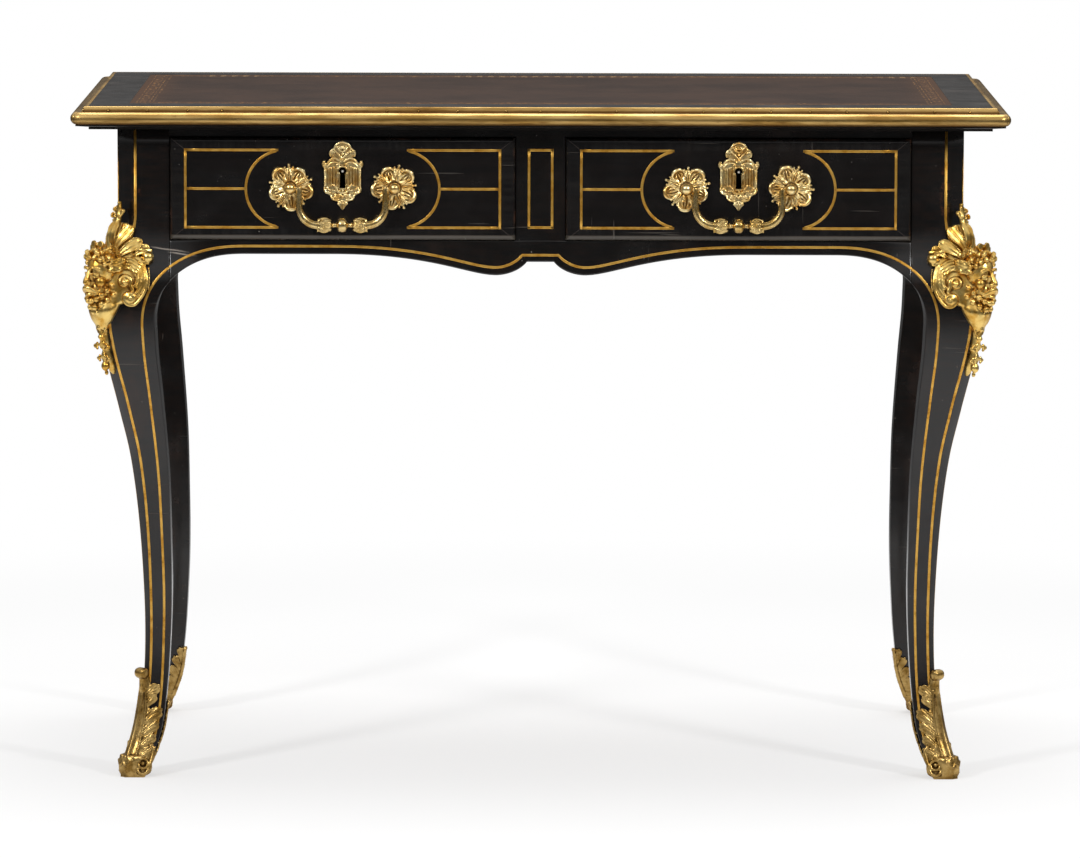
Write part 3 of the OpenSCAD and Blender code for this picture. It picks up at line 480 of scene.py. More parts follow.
def axesOf(vector):
    node = addNode(treeOf(vector), "ShaderNodeSeparateXYZ")
    feed(node.inputs[0], vector)
    return [Field(socket) for socket in node.outputs]


def below(value, limit):
    return maths("LESS_THAN", value, limit)


def smaller(a, b):
    return maths("MINIMUM", a, b)


def larger(a, b):
    return maths("MAXIMUM", a, b)


def specks(vector, scale, size, share):
    cells = addNode(treeOf(vector), "ShaderNodeTexVoronoi")
    feed(cells.inputs["Vector"], vector)
    feed(cells.inputs["Scale"], scale)
    cells = fieldsOf(cells)
    chance = makeField(treeOf(vector), "ShaderNodeSeparateColor", {0: cells["Color"]})
    return ramp(cells["Distance"], size, size * 0.4) * below(chance, share)


def shaderGroup(name, inputs, outputs):
    tree = bpy.data.node_groups.new(name, "ShaderNodeTree")
    for label, kind, value in inputs:
        socket = tree.interface.new_socket(label, in_out="INPUT", socket_type="NodeSocket" + kind)
        if value is not None:
            socket.default_value = value
    for label, kind in outputs:
        tree.interface.new_socket(label, in_out="OUTPUT", socket_type="NodeSocket" + kind)
    return tree, fieldsOf(addNode(tree, "NodeGroupInput")), addNode(tree, "NodeGroupOutput").inputs


def useGroup(group, **values):
    node = addNode(treeOf(*values.values()), "ShaderNodeGroup", node_tree=group)
    for key, value in values.items():
        feed(node.inputs[key], value)
    return fieldsOf(node)


# Old polished surface: brown showing through, small scratches and dust
def makeWornPolish():
    tree, i, o = shaderGroup("wornPolish", [
        ("Vector", "Vector", None), ("Base", "Color", (0.02, 0.02, 0.02, 1)),
        ("Brown", "Color", (0.06, 0.03, 0.015, 1)),
        ("Wear", "Float", 0.5), ("Scratches", "Float", 0.5), ("Dust", "Float", 0.5), ("Gloss", "Float", 0.22),
    ], [("Color", "Color"), ("Roughness", "Float"), ("Height", "Float")])
    place = i["Vector"]
    brown = ramp(noiseAt(place, 11, 6, 0.62) * grainAt(place, (18, 18, 2.2), 4, 0.6), 0.27, 0.42)
    brown = maths("MULTIPLY", brown, i["Wear"], clamp=True)
    tone = mixTone(brown, i["Base"], i["Brown"])
    grain = grainAt(place, (35, 35, 420), 3, 0.6)
    tone = mixTone(ramp(grain, 0.35, 0.7, 0.0, 0.22), tone, i["Brown"])
    flat = grainAt(place, (9, 9, 330), 1, 0.4)
    slant = noiseAt(stretched(place, (300, 300, 12), (0.0, 0.5, 0.2)), 1.0, 1, 0.4)
    marks = maths("ADD", ramp(flat, 0.735, 0.8), ramp(slant, 0.76, 0.82), clamp=True)
    marks = maths("MULTIPLY", marks, i["Scratches"], clamp=True)
    tone = mixTone(marks * 0.5, tone, (0.2, 0.17, 0.14, 1))
    dust = maths("ADD", specks(place, 95, 0.085, 0.10), specks(place, 210, 0.11, 0.05), clamp=True)
    dust = maths("MULTIPLY", dust, i["Dust"], clamp=True)
    feed(o["Color"], mixTone(dust * 0.55, tone, (0.36, 0.33, 0.29, 1)))
    rough = i["Gloss"] + ramp(noiseAt(place, 26, 5, 0.6), 0.3, 0.75, -0.03, 0.09)
    rough += (marks + dust) * 0.3
    feed(o["Roughness"], maths("ADD", rough, brown * 0.12, clamp=True))
    height = maths("MULTIPLY_ADD", grain, 0.08, noiseAt(place, 14, 2, 0.4) * 0.5)
    feed(o["Height"], maths("MULTIPLY_ADD", marks, -0.12, height))
    return tree


# Gilt or plain brass that is bright on its ridges and brown in its hollows, and dark where shade is painted
# through the same input
def makeOldGilt():
    tree, i, o = shaderGroup("oldGilt", [
        ("Vector", "Vector", None), ("Bright", "Color", (0.9, 0.62, 0.25, 1)),
        ("Deep", "Color", (0.6, 0.34, 0.1, 1)),
        ("Dark", "Color", (0.12, 0.06, 0.02, 1)), ("Hollow", "Float", 0.0), ("Patina", "Float", 0.5),
        ("Gloss", "Float", 0.2),
    ], [("Color", "Color"), ("Roughness", "Float"), ("Height", "Float")])
    place = i["Vector"]
    cloud = noiseAt(place, 75, 5, 0.6)
    fine = noiseAt(place, 420, 3, 0.6)
    tone = mixTone(ramp(cloud, 0.36, 0.66), i["Bright"], i["Deep"])
    hollowAndShade = ramp(maths("MULTIPLY_ADD", fine, 0.24, i["Hollow"] - 0.12), 0.08, 0.62)
    dirt = ramp(maths("MULTIPLY_ADD", cloud, 0.5, fine * 0.5), 0.5, 0.68)
    dirt = maths("MULTIPLY", dirt, i["Patina"], clamp=True)
    tone = mixTone(dirt * 0.75, tone, i["Dark"])
    feed(o["Color"], mixTone(hollowAndShade * 0.86, tone, i["Dark"]))
    rough = maths("MULTIPLY_ADD", hollowAndShade, 0.34, i["Gloss"])
    rough = maths("MULTIPLY_ADD", dirt, 0.22, rough)
    feed(o["Roughness"], maths("MULTIPLY_ADD", fine, 0.1, rough, clamp=True))
    feed(o["Height"], maths("MULTIPLY_ADD", fine, 0.5, noiseAt(place, 1500, 2, 0.5) * 0.3))
    return tree


# Distances on a board with mitred borders, in metres: past its border, and to the mitre
def makeBoardMask():
    tree, i, o = shaderGroup("boardMask", [
        ("Vector", "Vector", None), ("Centre X", "Float", 0.0), ("Centre Z", "Float", 0.0),
        ("Half width", "Float", 0.1),
        ("Half height", "Float", 0.1), ("Side border", "Float", 0.017), ("Top border", "Float", 0.014),
    ], [("Panel", "Float"), ("Mitre", "Float"), ("Rim", "Float"), ("Side", "Float")])
    x, _, z = axesOf(i["Vector"])
    fromSide = i["Half width"] - abs(abs(x) - i["Centre X"])
    fromTop = i["Half height"] - abs(z - i["Centre Z"])
    a = maths("DIVIDE", fromSide, i["Side border"])
    b = maths("DIVIDE", fromTop, i["Top border"])
    depth = smaller(a, b)
    feed(o["Panel"], ramp(depth, 0.985, 1.015))
    feed(o["Mitre"], ramp(abs(a - b), 0.05, 0.02) * ramp(depth, 1.01, 0.99))
    feed(o["Rim"], smaller(fromSide, fromTop))
    feed(o["Side"], below(a, b))
    return tree


wornPolish = makeWornPolish()
oldGilt = makeOldGilt()
boardMask = makeBoardMask()


def tint(r, g, b):
    # 0 to 255 screen values to a linear colour
    return tuple((v / 255 / 12.92 if v <= 10 else ((v / 255 + 0.055) / 1.055) ** 2.4)
                 for v in (r, g, b)) + (1,)


def grey(value):
    return (value, value, value, 1)


# The paint function gives the colour, the roughness, the height and how strong the bump is
def newMaterial(name, paint, **fixed):
    material = bpy.data.materials.new(name)
    material.use_nodes = True
    tree = material.node_tree
    shader = next(n for n in tree.nodes if n.type == "BSDF_PRINCIPLED")
    for key, value in fixed.items():
        shader.inputs[key.replace("_", " ")].default_value = value
    color, roughness, height, strength = paint(makeField(tree, "ShaderNodeTexCoord", output="Object"))
    feed(shader.inputs["Base Color"], color)
    feed(shader.inputs["Roughness"], roughness)
    bump = {"Strength": strength, "Distance": 0.001, "Height": height}
    feed(shader.inputs["Normal"], makeField(tree, "ShaderNodeBump", bump))
    return material


polish = {
    "frieze": {"Base": tint(13, 13, 13), "Brown": tint(44, 29, 20), "Wear": 0.45, "Scratches": 0.5,
               "Dust": 0.9, "Gloss": 0.2},
    "leg": {"Base": tint(14, 14, 14), "Brown": tint(54, 34, 23), "Wear": 0.5, "Scratches": 0.45, "Dust": 0.85,
            "Gloss": 0.2},
    "drawer": {"Base": tint(13, 13, 14), "Brown": tint(38, 27, 20), "Wear": 0.35, "Scratches": 0.6,
               "Dust": 0.95, "Gloss": 0.2},
    "border": {"Base": tint(17, 14, 12), "Brown": tint(52, 42, 35), "Wear": 0.5, "Scratches": 0.9,
               "Dust": 0.9, "Gloss": 0.32},
}
# Painted highlight: pale gleam lines that stand in for a reflection, from the left post into the front rail:
# slope, height, start and end of each, in metres
paintedGleams = [(-0.14, 0.5418, -0.44, -0.39), (-0.137, 0.54, -0.42, -0.382)]


def crackInto(place, color):
    x, y, z = axesOf(place)
    shake = (noiseAt(place, 60, 3, 0.6) - 0.5) * 0.0022
    found = 0.0
    for slope, height, start, end in paintedGleams:
        line = maths("MULTIPLY_ADD", x, slope, height) + shake
        span = ramp(x, start, start + 0.012) * ramp(x, end, end - 0.02)
        found = larger(found, ramp(abs(z - line), 0.0011, 0.0004) * span)
    # the gleam lines are painted highlight, mixed pale into the front faces
    return mixTone(found * below(y, -0.2) * 0.75, color, tint(150, 140, 130))


def paintFrieze(place):
    out = useGroup(wornPolish, Vector=place, **polish["frieze"])
    # the frieze takes the painted highlight lines over its polish
    return crackInto(place, out["Color"]), out["Roughness"], out["Height"], 0.06


def paintLeg(place):
    x, _, z = axesOf(place)
    # brown rubbed through beside the stringing of the posts
    high = ramp(z, 0.63, 0.65) * ramp(z, 0.7, 0.68)
    beside = ramp(abs(abs(x) - 0.4535), 0.007, 0.003)
    patch = high * beside * ramp(noiseAt(place, 90, 4, 0.7), 0.5, 0.62)
    out = useGroup(wornPolish, Vector=place, **polish["leg"])
    # the leg takes the painted highlight lines too, under the rubbed brown patch
    color = mixTone(patch * 0.7, crackInto(place, out["Color"]), tint(74, 44, 27))
    return color, out["Roughness"], out["Height"], 0.06


def paintDrawer(place):
    mask = useGroup(boardMask, Vector=place, **{
        "Centre X": desk["drawerX"] * mm, "Centre Z": (frontPanel["low"] + frontPanel["height"] / 2) * mm,
        "Half width": frontPanel["width"] / 2 * mm, "Half height": frontPanel["height"] / 2 * mm,
        "Side border": frontPanel["side"] * mm, "Top border": frontPanel["top"] * mm})
    out = useGroup(wornPolish, Vector=place, **polish["drawer"])
    rows = grainAt(place, (7, 7, 190), 4, 0.65)
    panel = mixTone(ramp(rows, 0.3, 0.72), tint(13, 12, 11), tint(25, 20, 18))
    panel = mixTone(0.55, out["Color"], panel)
    cross = mixTone(mask["Side"], grainAt(place, (300, 300, 12), 2, 0.6),
                    grainAt(place, (12, 12, 300), 2, 0.6))
    border = mixTone(ramp(cross, 0.35, 0.7, 0.0, 0.4), out["Color"], tint(40, 38, 36))
    color = mixTone(mask["Panel"], border, panel)
    color = mixTone(mask["Mitre"] * 0.5, color, tint(70, 62, 58))
    rubbed = ramp(mask["Rim"], 0.0034, 0.0004) * ramp(noiseAt(place, 30, 5, 0.7), 0.5, 0.66)
    color = mixTone(rubbed * 0.7, color, tint(82, 54, 40))
    # painted sheen: the lower moulding is lightened to grey where it catches the light, in streaks
    sheenStreaks = ramp(grainAt(place, (6, 6, 60), 3, 0.6), 0.25, 0.6, 0.55, 0.95)
    low = ramp(axesOf(place)[2], 0.6176, 0.616) * sheenStreaks
    return mixTone(low, color, tint(74, 68, 60)), out["Roughness"], out["Height"], 0.06


def paintBorder(place):
    x, y, _ = axesOf(place)
    fromEnd, fromFront = innerX * mm - abs(x), innerY * mm - abs(y)
    mitre = abs(fromEnd - fromFront)
    out = useGroup(wornPolish, Vector=place, **polish["border"])
    long = grainAt(place, (5, 60, 60), 4, 0.6)
    color = mixTone(ramp(long, 0.35, 0.7, 0.0, 0.4), out["Color"], tint(46, 43, 40))
    color = mixTone(ramp(mitre, 0.0009, 0.0004, 0.0, 0.7), color, tint(12, 10, 9))
    color = mixTone(ramp(smaller(fromEnd, fromFront), 0.004, 0.0005, 0.0, 0.8), color, tint(22, 17, 12))
    return color, out["Roughness"], out["Height"], 0.1


gilding = {
    "maskGilt": {"Bright": tint(240, 206, 124), "Deep": tint(208, 158, 68), "Dark": tint(84, 50, 18),
                 "Patina": 0.2, "Gloss": 0.24},
    "handleGilt": {"Bright": tint(254, 232, 172), "Deep": tint(234, 190, 108), "Dark": tint(88, 54, 20),
                   "Patina": 0.15, "Gloss": 0.24},
    "bailGilt": {"Bright": tint(228, 200, 138), "Deep": tint(196, 160, 90), "Dark": tint(66, 42, 16),
                 "Patina": 0.35, "Gloss": 0.22},
    "sabotGilt": {"Bright": tint(196, 164, 102), "Deep": tint(146, 112, 54), "Dark": tint(48, 32, 13),
                  "Patina": 0.6, "Gloss": 0.24},
    "stringBrass": {"Bright": tint(230, 182, 90), "Deep": tint(208, 152, 60), "Dark": tint(92, 60, 24),
                    "Patina": 0.5, "Gloss": 0.38},
    "edgeBrass": {"Bright": tint(206, 172, 108), "Deep": tint(160, 124, 64), "Dark": tint(84, 52, 22),
                  "Patina": 0.45, "Gloss": 0.27},
    "lockBrass": {"Bright": tint(214, 178, 110), "Deep": tint(176, 134, 72), "Dark": tint(70, 46, 22),
                  "Patina": 0.8, "Gloss": 0.36},
}
lockPin = {"tipY": -0.2675, "faceY": -0.2375}


def hollowsOf(place):
    return makeField(treeOf(place), "ShaderNodeAttribute", output="Fac", attribute_name="hollowAndShade")


def makeGilt(name, hollows=True, strength=0.12):
    def paint(place):
        hollowAndShade = hollowsOf(place) if hollows else 0.0
        out = useGroup(oldGilt, Vector=place, Hollow=hollowAndShade, **gilding[name])
        return out["Color"], out["Roughness"], out["Height"], strength

    return newMaterial(name, paint, Metallic=1.0)


def paintLock(place):
    # old brass with painted shade, near black, on the face seen through the keyhole, and a bright end to the
    # pin
    out = useGroup(oldGilt, Vector=place, Hollow=0.0, **gilding["lockBrass"])
    x, y, z = axesOf(place)
    aside, above = abs(x) - desk["drawerX"] * mm, z - desk["keyZ"] * mm
    reach = maths("SQRT", aside * aside + above * above)
    tip = ramp(reach, 0.0015, 0.001) * below(y, lockPin["tipY"])
    # painted shade: everything in front of the lock's face is made near black
    keyholeShade = below(y, lockPin["faceY"])
    color = mixTone(tip, mixTone(keyholeShade * 0.97, out["Color"], tint(14, 11, 9)), tint(236, 232, 222))
    return color, larger(out["Roughness"], keyholeShade * 0.5), out["Height"], 0.1


def paintEdge(place):
    out = useGroup(oldGilt, Vector=stretched(place, (0.14, 0.14, 1.5)), Hollow=hollowsOf(place),
                   **gilding["edgeBrass"])
    streaks = grainAt(place, (9, 9, 320), 5, 0.7)
    color = mixTone(ramp(streaks, 0.46, 0.7, 0.0, 0.5), out["Color"], tint(128, 98, 52))
    stains = ramp(grainAt(place, (40, 40, 260), 4, 0.7), 0.6, 0.74, 0.0, 0.6)
    color = mixTone(stains, color, tint(96, 58, 30))
    # painted shade: the brass along the short ends of the top is darkened
    x, y, _ = axesOf(place)
    ends = ramp(abs(x), 0.506, 0.511) * ramp(abs(y), 0.287, 0.278)
    color = mixTone(ends * 0.62, color, tint(74, 58, 34))
    rough = maths("ADD", out["Roughness"], ramp(streaks, 0.46, 0.66, 0.0, 0.16), clamp=True)
    return color, rough, maths("MULTIPLY_ADD", streaks, 0.6, out["Height"]), 0.1


# Gold tooling of the leather, in metres from its edge: two lines, a scroll between them, dots inside
tooling = {"lines": (0.0075, 0.0215), "scroll": 0.0145, "swing": 0.0036, "wave": 0.018, "dots": 0.0255,
           "dotsPerMetre": 150}


def paintLeather(place):
    x, y, _ = axesOf(place)
    fromEnd, fromFront = (innerX - desk["border"]) * mm - abs(x), (innerY - desk["border"]) * mm - abs(y)
    rim = smaller(fromEnd, fromFront)
    run = mixTone(below(fromEnd, fromFront), x, y)
    blotch = noiseAt(place, 8, 6, 0.62)
    fine = noiseAt(place, 90, 4, 0.7)
    color = mixTone(ramp(blotch, 0.3, 0.7), tint(42, 28, 20), tint(58, 41, 31))
    color = mixTone(ramp(fine, 0.45, 0.75, 0.0, 0.4), color, tint(36, 26, 20))
    color = mixTone(ramp(rim, 0.05, 0.0, 0.0, 0.65), color, tint(76, 50, 30))
    scuffs = noiseAt(stretched(place, (20, 160, 20), (0, 0, 0.3)), 1.0, 2, 0.5)
    color = mixTone(ramp(scuffs, 0.68, 0.76, 0.0, 0.4), color, tint(92, 72, 56))
    wave = maths("SINE", run * (2 * math.pi / tooling["wave"]))
    scrolls = [abs(rim - maths("MULTIPLY_ADD", wave, way * tooling["swing"], tooling["scroll"]))
               for way in (1, -1)]
    lines = [abs(rim - spot) for spot in tooling["lines"]]
    dotRun = abs(maths("FRACT", run * tooling["dotsPerMetre"]) - 0.5)
    dots = ramp(dotRun, 0.3, 0.18) * ramp(abs(rim - tooling["dots"]), 0.0013, 0.0007)
    tool = larger(ramp(smaller(*scrolls), 0.0013, 0.0005),
                  larger(ramp(smaller(*lines), 0.0009, 0.0004), dots))
    # the gold is mostly worn off, least along the back
    back = ramp(y, 0.19, 0.215)
    dash = ramp(abs(maths("FRACT", x * 76) - 0.5), 0.3, 0.2)
    spell = noiseAt(stretched(place, (14, 14, 14), (0, 0, 0), (0.3, 0, 0)), 1.0, 2, 0.5)
    kept = back * (dash * ramp(spell, 0.46, 0.58, 0.0, 0.7))
    left = larger(ramp(noiseAt(place, 130, 6, 0.75), 0.5, 0.62), kept)
    color = mixTone(tool * left * 0.8, color, mixTone(kept, tint(176, 128, 72), tint(206, 174, 126)))
    pores = makeField(treeOf(place), "ShaderNodeTexVoronoi", {"Vector": place, "Scale": 620}, "Distance")
    height = maths("MULTIPLY_ADD", tool, -0.7, maths("MULTIPLY_ADD", pores, 0.35, fine * 0.6))
    return color, ramp(blotch, 0.3, 0.75, 0.42, 0.56), height, 0.25


def paintOak(place):
    rings = grainAt(place, (60, 7, 60), 6, 0.62, 0.4)
    pores = grainAt(place, (900, 40, 900), 2, 0.5)
    color = mixTone(ramp(rings, 0.3, 0.72), tint(118, 84, 50), tint(168, 128, 82))
    color = mixTone(ramp(pores, 0.56, 0.7, 0.0, 0.6), color, tint(74, 48, 26))
    color = mixTone(ramp(noiseAt(place, 7, 4, 0.6), 0.45, 0.75, 0.0, 0.45), color, tint(84, 58, 34))
    return color, ramp(rings, 0.3, 0.7, 0.5, 0.68), maths("MULTIPLY_ADD", pores, -0.8, rings * 0.5), 0.2


def paintIron(place):
    file = grainAt(place, (900, 900, 60), 3, 0.6)
    rust = noiseAt(place, 90, 5, 0.65)
    color = mixTone(ramp(file, 0.3, 0.7), tint(120, 116, 110), tint(160, 156, 150))
    color = mixTone(ramp(rust, 0.5, 0.68, 0.0, 0.75), color, tint(70, 46, 32))
    return color, ramp(rust, 0.4, 0.7, 0.36, 0.68), file, 0.15


friezeBlack = newMaterial("friezeBlack", paintFrieze, Coat_Weight=0.0, IOR=1.5)
legBlack = newMaterial("legBlack", paintLeg, IOR=1.5)
drawerBlack = newMaterial("drawerBlack", paintDrawer, IOR=1.5)
topBlack = newMaterial("topBlack", paintBorder, IOR=1.5, Specular_IOR_Level=0.36)
maskGilt, handleGilt = makeGilt("maskGilt"), makeGilt("handleGilt")
bailGilt, sabotGilt = makeGilt("bailGilt"), makeGilt("sabotGilt")
stringBrass = makeGilt("stringBrass", False, 0.1)
lockBrass = newMaterial("lockBrass", paintLock, Metallic=1.0)
edgeBrass = newMaterial("edgeBrass", paintEdge, Metallic=1.0)
brownHide = newMaterial("brownHide", paintLeather, IOR=1.45, Specular_IOR_Level=0.12)
waxedOak = newMaterial("waxedOak", paintOak, IOR=1.48)
filedIron = newMaterial("filedIron", paintIron, Metallic=1.0)

# The finish of each CAD node is the first whose word its name has
nodeFinishes = [
    (("leather_skin",), brownHide), (("top_board",), topBlack), (("top_screws", "lock_bolt"), filedIron),
    (("lock_case",), lockBrass), (("strings",), stringBrass), (("top_edge",), edgeBrass),
    (("mask",), maskGilt),
    (("sabot",), sabotGilt), (("keyhole_plate", "rosettes", "handle_posts", "bail"), handleGilt),
    (("leg_",), legBlack),
    (("drawer_front", "rear_panels"), drawerBlack),
    (("bearer", "runner", "guide", "kicker", "block", "sides", "back", "bottom"), waxedOak),
    (("",), friezeBlack),
]
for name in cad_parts:
    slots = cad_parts[name].data.materials
    slots.clear()
    slots.append(next(finish for words, finish in nodeFinishes if any(word in name for word in words)))
print("materials ready")


# Camera and light
view = {"place": (0.0, -8.7423, 1.3756), "pitch": 6.575, "roll": 0.14, "lens": 253.05, "sensor": 36,
        "clip": (0.1, 60)}
# name, place, size, power
lamps = [
    ("leftLamp", (-2.6, -3.2, 3.0), 0.6, 74),
    ("rightLamp", (2.6, -3.0, 2.8), 0.5, 62),
    ("topLamp", (0.2, 0.6, 3.2), 2.4, 55),
]
lampAim = (0, 0, 0.4)
floorReach = {"side": 9000, "front": 3600, "back": 9000}


def makeCamera():
    data = bpy.data.cameras.new("photoCamera")
    data.lens, data.sensor_width = view["lens"], view["sensor"]
    data.clip_start, data.clip_end = view["clip"]
    camera = addToScene("photoCamera", data)
    camera.location = view["place"]
    pitch, roll = math.radians(90 - view["pitch"]), math.radians(view["roll"])
    look = Matrix.Rotation(pitch, 4, "X") @ Matrix.Rotation(roll, 4, "Z")
    camera.rotation_euler = look.to_euler()
    bpy.context.scene.camera = camera


def makeLamps():
    for name, spot, size, power in lamps:
        data = bpy.data.lights.new(name, "AREA")
        data.shape = "DISK"
        data.size = size
        data.energy = power
        lamp = addToScene(name, data)
        lamp.location = spot
        lamp.rotation_euler = (Vector(lampAim) - Vector(spot)).to_track_quat("-Z", "Y").to_euler()


def cameraRay(tree):
    return makeField(tree, "ShaderNodeLightPath", output="Is Camera Ray")


def makeWorld():
    world = bpy.data.worlds.new("studio")
    bpy.context.scene.world = world
    world.use_nodes = True
    tree = world.node_tree
    tree.nodes.clear()
    _, y, z = axesOf(makeField(tree, "ShaderNodeTexCoord", output="Generated"))
    color = mixTone(ramp(z, 0.02, 0.55), grey(0.12), grey(0.75))
    # the side behind the camera is dim, and so is the low end behind the desk, which the top would mirror
    color = mixTone(ramp(y, 0.1, -0.75) * ramp(z, 0.55, 0.05), color, grey(0.06))
    color = mixTone(ramp(y, 0.2, 0.7) * ramp(z, 0.5, 0.16), color, grey(0.06))
    studio = makeField(tree, "ShaderNodeBackground", {0: color})
    plain = makeField(tree, "ShaderNodeBackground", {0: grey(1)})
    mixed = makeField(tree, "ShaderNodeMixShader", {0: cameraRay(tree), 1: studio, 2: plain})
    feed(addNode(tree, "ShaderNodeOutputWorld").inputs[0], mixed)


def makeFloor():
    material = bpy.data.materials.new("paleFloor")
    material.use_nodes = True
    tree = material.node_tree
    tree.nodes.clear()
    place = makeField(tree, "ShaderNodeTexCoord", output="Object")
    length = makeField(tree, "ShaderNodeVectorMath", {0: place}, "Value", operation="LENGTH")
    paper = makeField(tree, "ShaderNodeBsdfDiffuse",
                      {0: mixTone(ramp(length, 0.9, 2.6), grey(0.82), grey(0.12))})
    glow = makeField(tree, "ShaderNodeEmission", {0: grey(1)})
    share = ramp(length, 0.5, 1.9, 0.55, 1.0) * cameraRay(tree)
    mixed = makeField(tree, "ShaderNodeMixShader", {0: share, 1: paper, 2: glow})
    feed(addNode(tree, "ShaderNodeOutputMaterial").inputs[0], mixed)
    x, near, far = floorReach["side"], -floorReach["front"], floorReach["back"]
    ground = [(-x, near, 0), (x, near, 0), (x, far, 0), (-x, far, 0)]
    makePiece("floor", ground, [[0, 1, 2, 3]], material)


makeCamera()
makeLamps()
makeWorld()
makeFloor()
bpy.context.scene.view_settings.view_transform = "Standard"
print("studio ready")


# Smooth legs, with softened arrises
legSizes = {"inner": 1.8, "outer": 1.2, "cantSoft": 2.2, "corner": 4}


def softCorner(before, point, after, radius, count):
    # rounds one corner of a plan outline
    before, point, after = (np.asarray(v, float) for v in (before, point, after))
    a, b = unit(before - point), unit(after - point)
    half = math.acos(max(min(np.dot(a, b), 1), -1)) / 2
    cut = min(radius / math.tan(half), 0.45 * np.linalg.norm(before - point),
              0.45 * np.linalg.norm(after - point))
    start, end = point + a * cut, point + b * cut
    out = []
    for i in range(count):
        t = i / (count - 1)
        out.append((1 - t) ** 2 * start + 2 * (1 - t) * t * point + t * t * end)
    return out


def legRing(z, grow=0.0):
    out, into, cant = outAt(z) + grow, inAt(z) - postWidth - grow, cantAt(z) + 0.58 * grow
    soft = legSizes["inner"] if z < jointZ - 8 else max(0.35, legSizes["inner"] * (jointZ - z) / 8)
    outline = [(into, into), (out, into), (out, out - cant), (out - cant, out), (into, out)]
    radii = [soft, soft, legSizes["cantSoft"], legSizes["cantSoft"], soft]
    ring = []
    for k in range(5):
        ring += softCorner(outline[k - 1], outline[k], outline[(k + 1) % 5], radii[k], legSizes["corner"])
    return [(p[0], p[1], z) for p in ring]


def legHeights():
    heights = list(np.linspace(0, kneeZ, 90)) + list(np.linspace(kneeZ, jointZ, 26))[1:]
    heights += list(np.linspace(jointZ, archTop + 38, 26))[1:]
    heights += list(np.linspace(archTop + 38, desk["caseTop"], 6))[1:]
    return heights


def makeLegs():
    shape = outward(loft([legRing(z) for z in legHeights()]))
    for name, (sx, sy) in corners.items():
        faces = shape[1] if sx * sy > 0 else turnFaces(shape[1])
        leg = makePiece("leg_" + name, toCorner(sx, sy)(shape[0]), faces, legBlack)
        mount(leg, "carcass", "leg_" + name)


# Rails with a shaped lower edge that swell forward to meet the knees
rails = {
    "front": {"half": bayX, "lobe": 50.5, "drop": 23.4, "sweep": 230, "flat": 15, "top": desk["openBottom"],
              "face": caseY},
    "back": {"half": bayX, "lobe": 50.5, "drop": 23.4, "sweep": 230, "flat": 15, "top": desk["caseTop"],
             "face": caseY},
    "side": {"half": bayY, "lobe": 40, "drop": 12, "sweep": bayY - desk["archWidth"] + 8, "flat": 15,
             "top": desk["caseTop"], "face": caseX},
}
railSides = {"front": "front", "back": "back", "left": "side", "right": "side"}
swell = {"reach": 62, "flatDrop": 8.2, "stringIn": 9, "kneeString": 14}


def bezier(a, b, c, d, steps):
    a, b, c, d = (np.asarray(v, float) for v in (a, b, c, d))
    return [tuple((1 - t) ** 3 * a + 3 * (1 - t) ** 2 * t * b + 3 * (1 - t) * t * t * c + t ** 3 * d)
            for t in np.linspace(0, 1, steps + 1)]


def railEdge(rail, up=0.0):
    middle = rail["flat"] + up * 0.6
    low, top = archTop + up - rail["drop"], archTop + up
    lobe, sweep, half = rail["lobe"], rail["sweep"], rail["half"]
    w = desk["archWidth"] + (swell["kneeString"] if up > 0 else 0)
    edge = bezier((middle, archTop - swell["flatDrop"] + up * 0.85),
                  (middle + (lobe - middle) * 0.2, low + 6),
                  (middle + (lobe - middle) * 0.6, low), (lobe, low), 16)
    edge += bezier((lobe, low), (lobe + 30, low), (lobe + (sweep - lobe) * 0.4, top), (sweep, top), 40)[1:]
    end = archEnd(w) - (math.radians(4) if up > 0 else 0)
    h = desk["archHeight"] + up
    arch = [archPoint(w, h, a) for a in np.linspace(math.pi / 2, end, 40)]
    return edge + [(half + x, z) for x, z in arch]


def swellAt(rail, x, z):
    out = max(outAt(z), 0) if z > archTop - 60 else outAt(z)
    return out * float(smoothstep((abs(x) - rail["half"] + swell["reach"]) / swell["reach"]))


def railShape(rail):
    edge = railEdge(rail)
    ex = np.array([p[0] for p in edge])
    ez = np.array([p[1] for p in edge])
    places = [np.linspace(0, rail["flat"], 4), np.linspace(rail["flat"], rail["lobe"], 14),
              np.linspace(rail["lobe"], rail["sweep"], 26),
              rail["half"] - desk["archWidth"] * 0.9 * (1 - np.linspace(0, 1, 30) ** 0.7)]
    right = np.unique(np.concatenate(places))
    right = right[right <= rail["half"]]
    right = np.append(right[right < rail["half"] - 0.2], rail["half"])
    columns = np.concatenate([-right[::-1], right[1:]])
    rings = []
    face, back = rail["face"], rail["face"] - desk["wall"]
    rows = 22
    soft = 1.6
    for x in columns:
        low = float(np.interp(abs(x), ex, ez))
        ring = [(x, back, rail["top"]), (x, back, (rail["top"] + low) / 2), (x, back, low + soft),
                (x, back + soft, low)]
        front = face + swellAt(rail, x, low)
        ring += [(x, face - 6, low), (x, front - soft, low), (x, front - 0.45 * soft, low + 0.18 * soft)]
        for i in range(rows + 1):
            z = low + soft * 0.8 + (rail["top"] - low - soft * 0.8) * (i / rows) ** 1.3
            ring.append((x, face + swellAt(rail, x, z) - (0.35 if i == rows else 0), z))
        rings.append(ring)
    return outward(loft(rings))


def turnTo(side):
    # points drawn with their face towards +Y, turned to one side of the desk
    c, s = {"back": (1, 0), "front": (-1, 0), "left": (0, 1), "right": (0, -1)}[side]
    return lambda p: np.stack([c * p[:, 0] - s * p[:, 1], s * p[:, 0] + c * p[:, 1], p[:, 2]], 1)


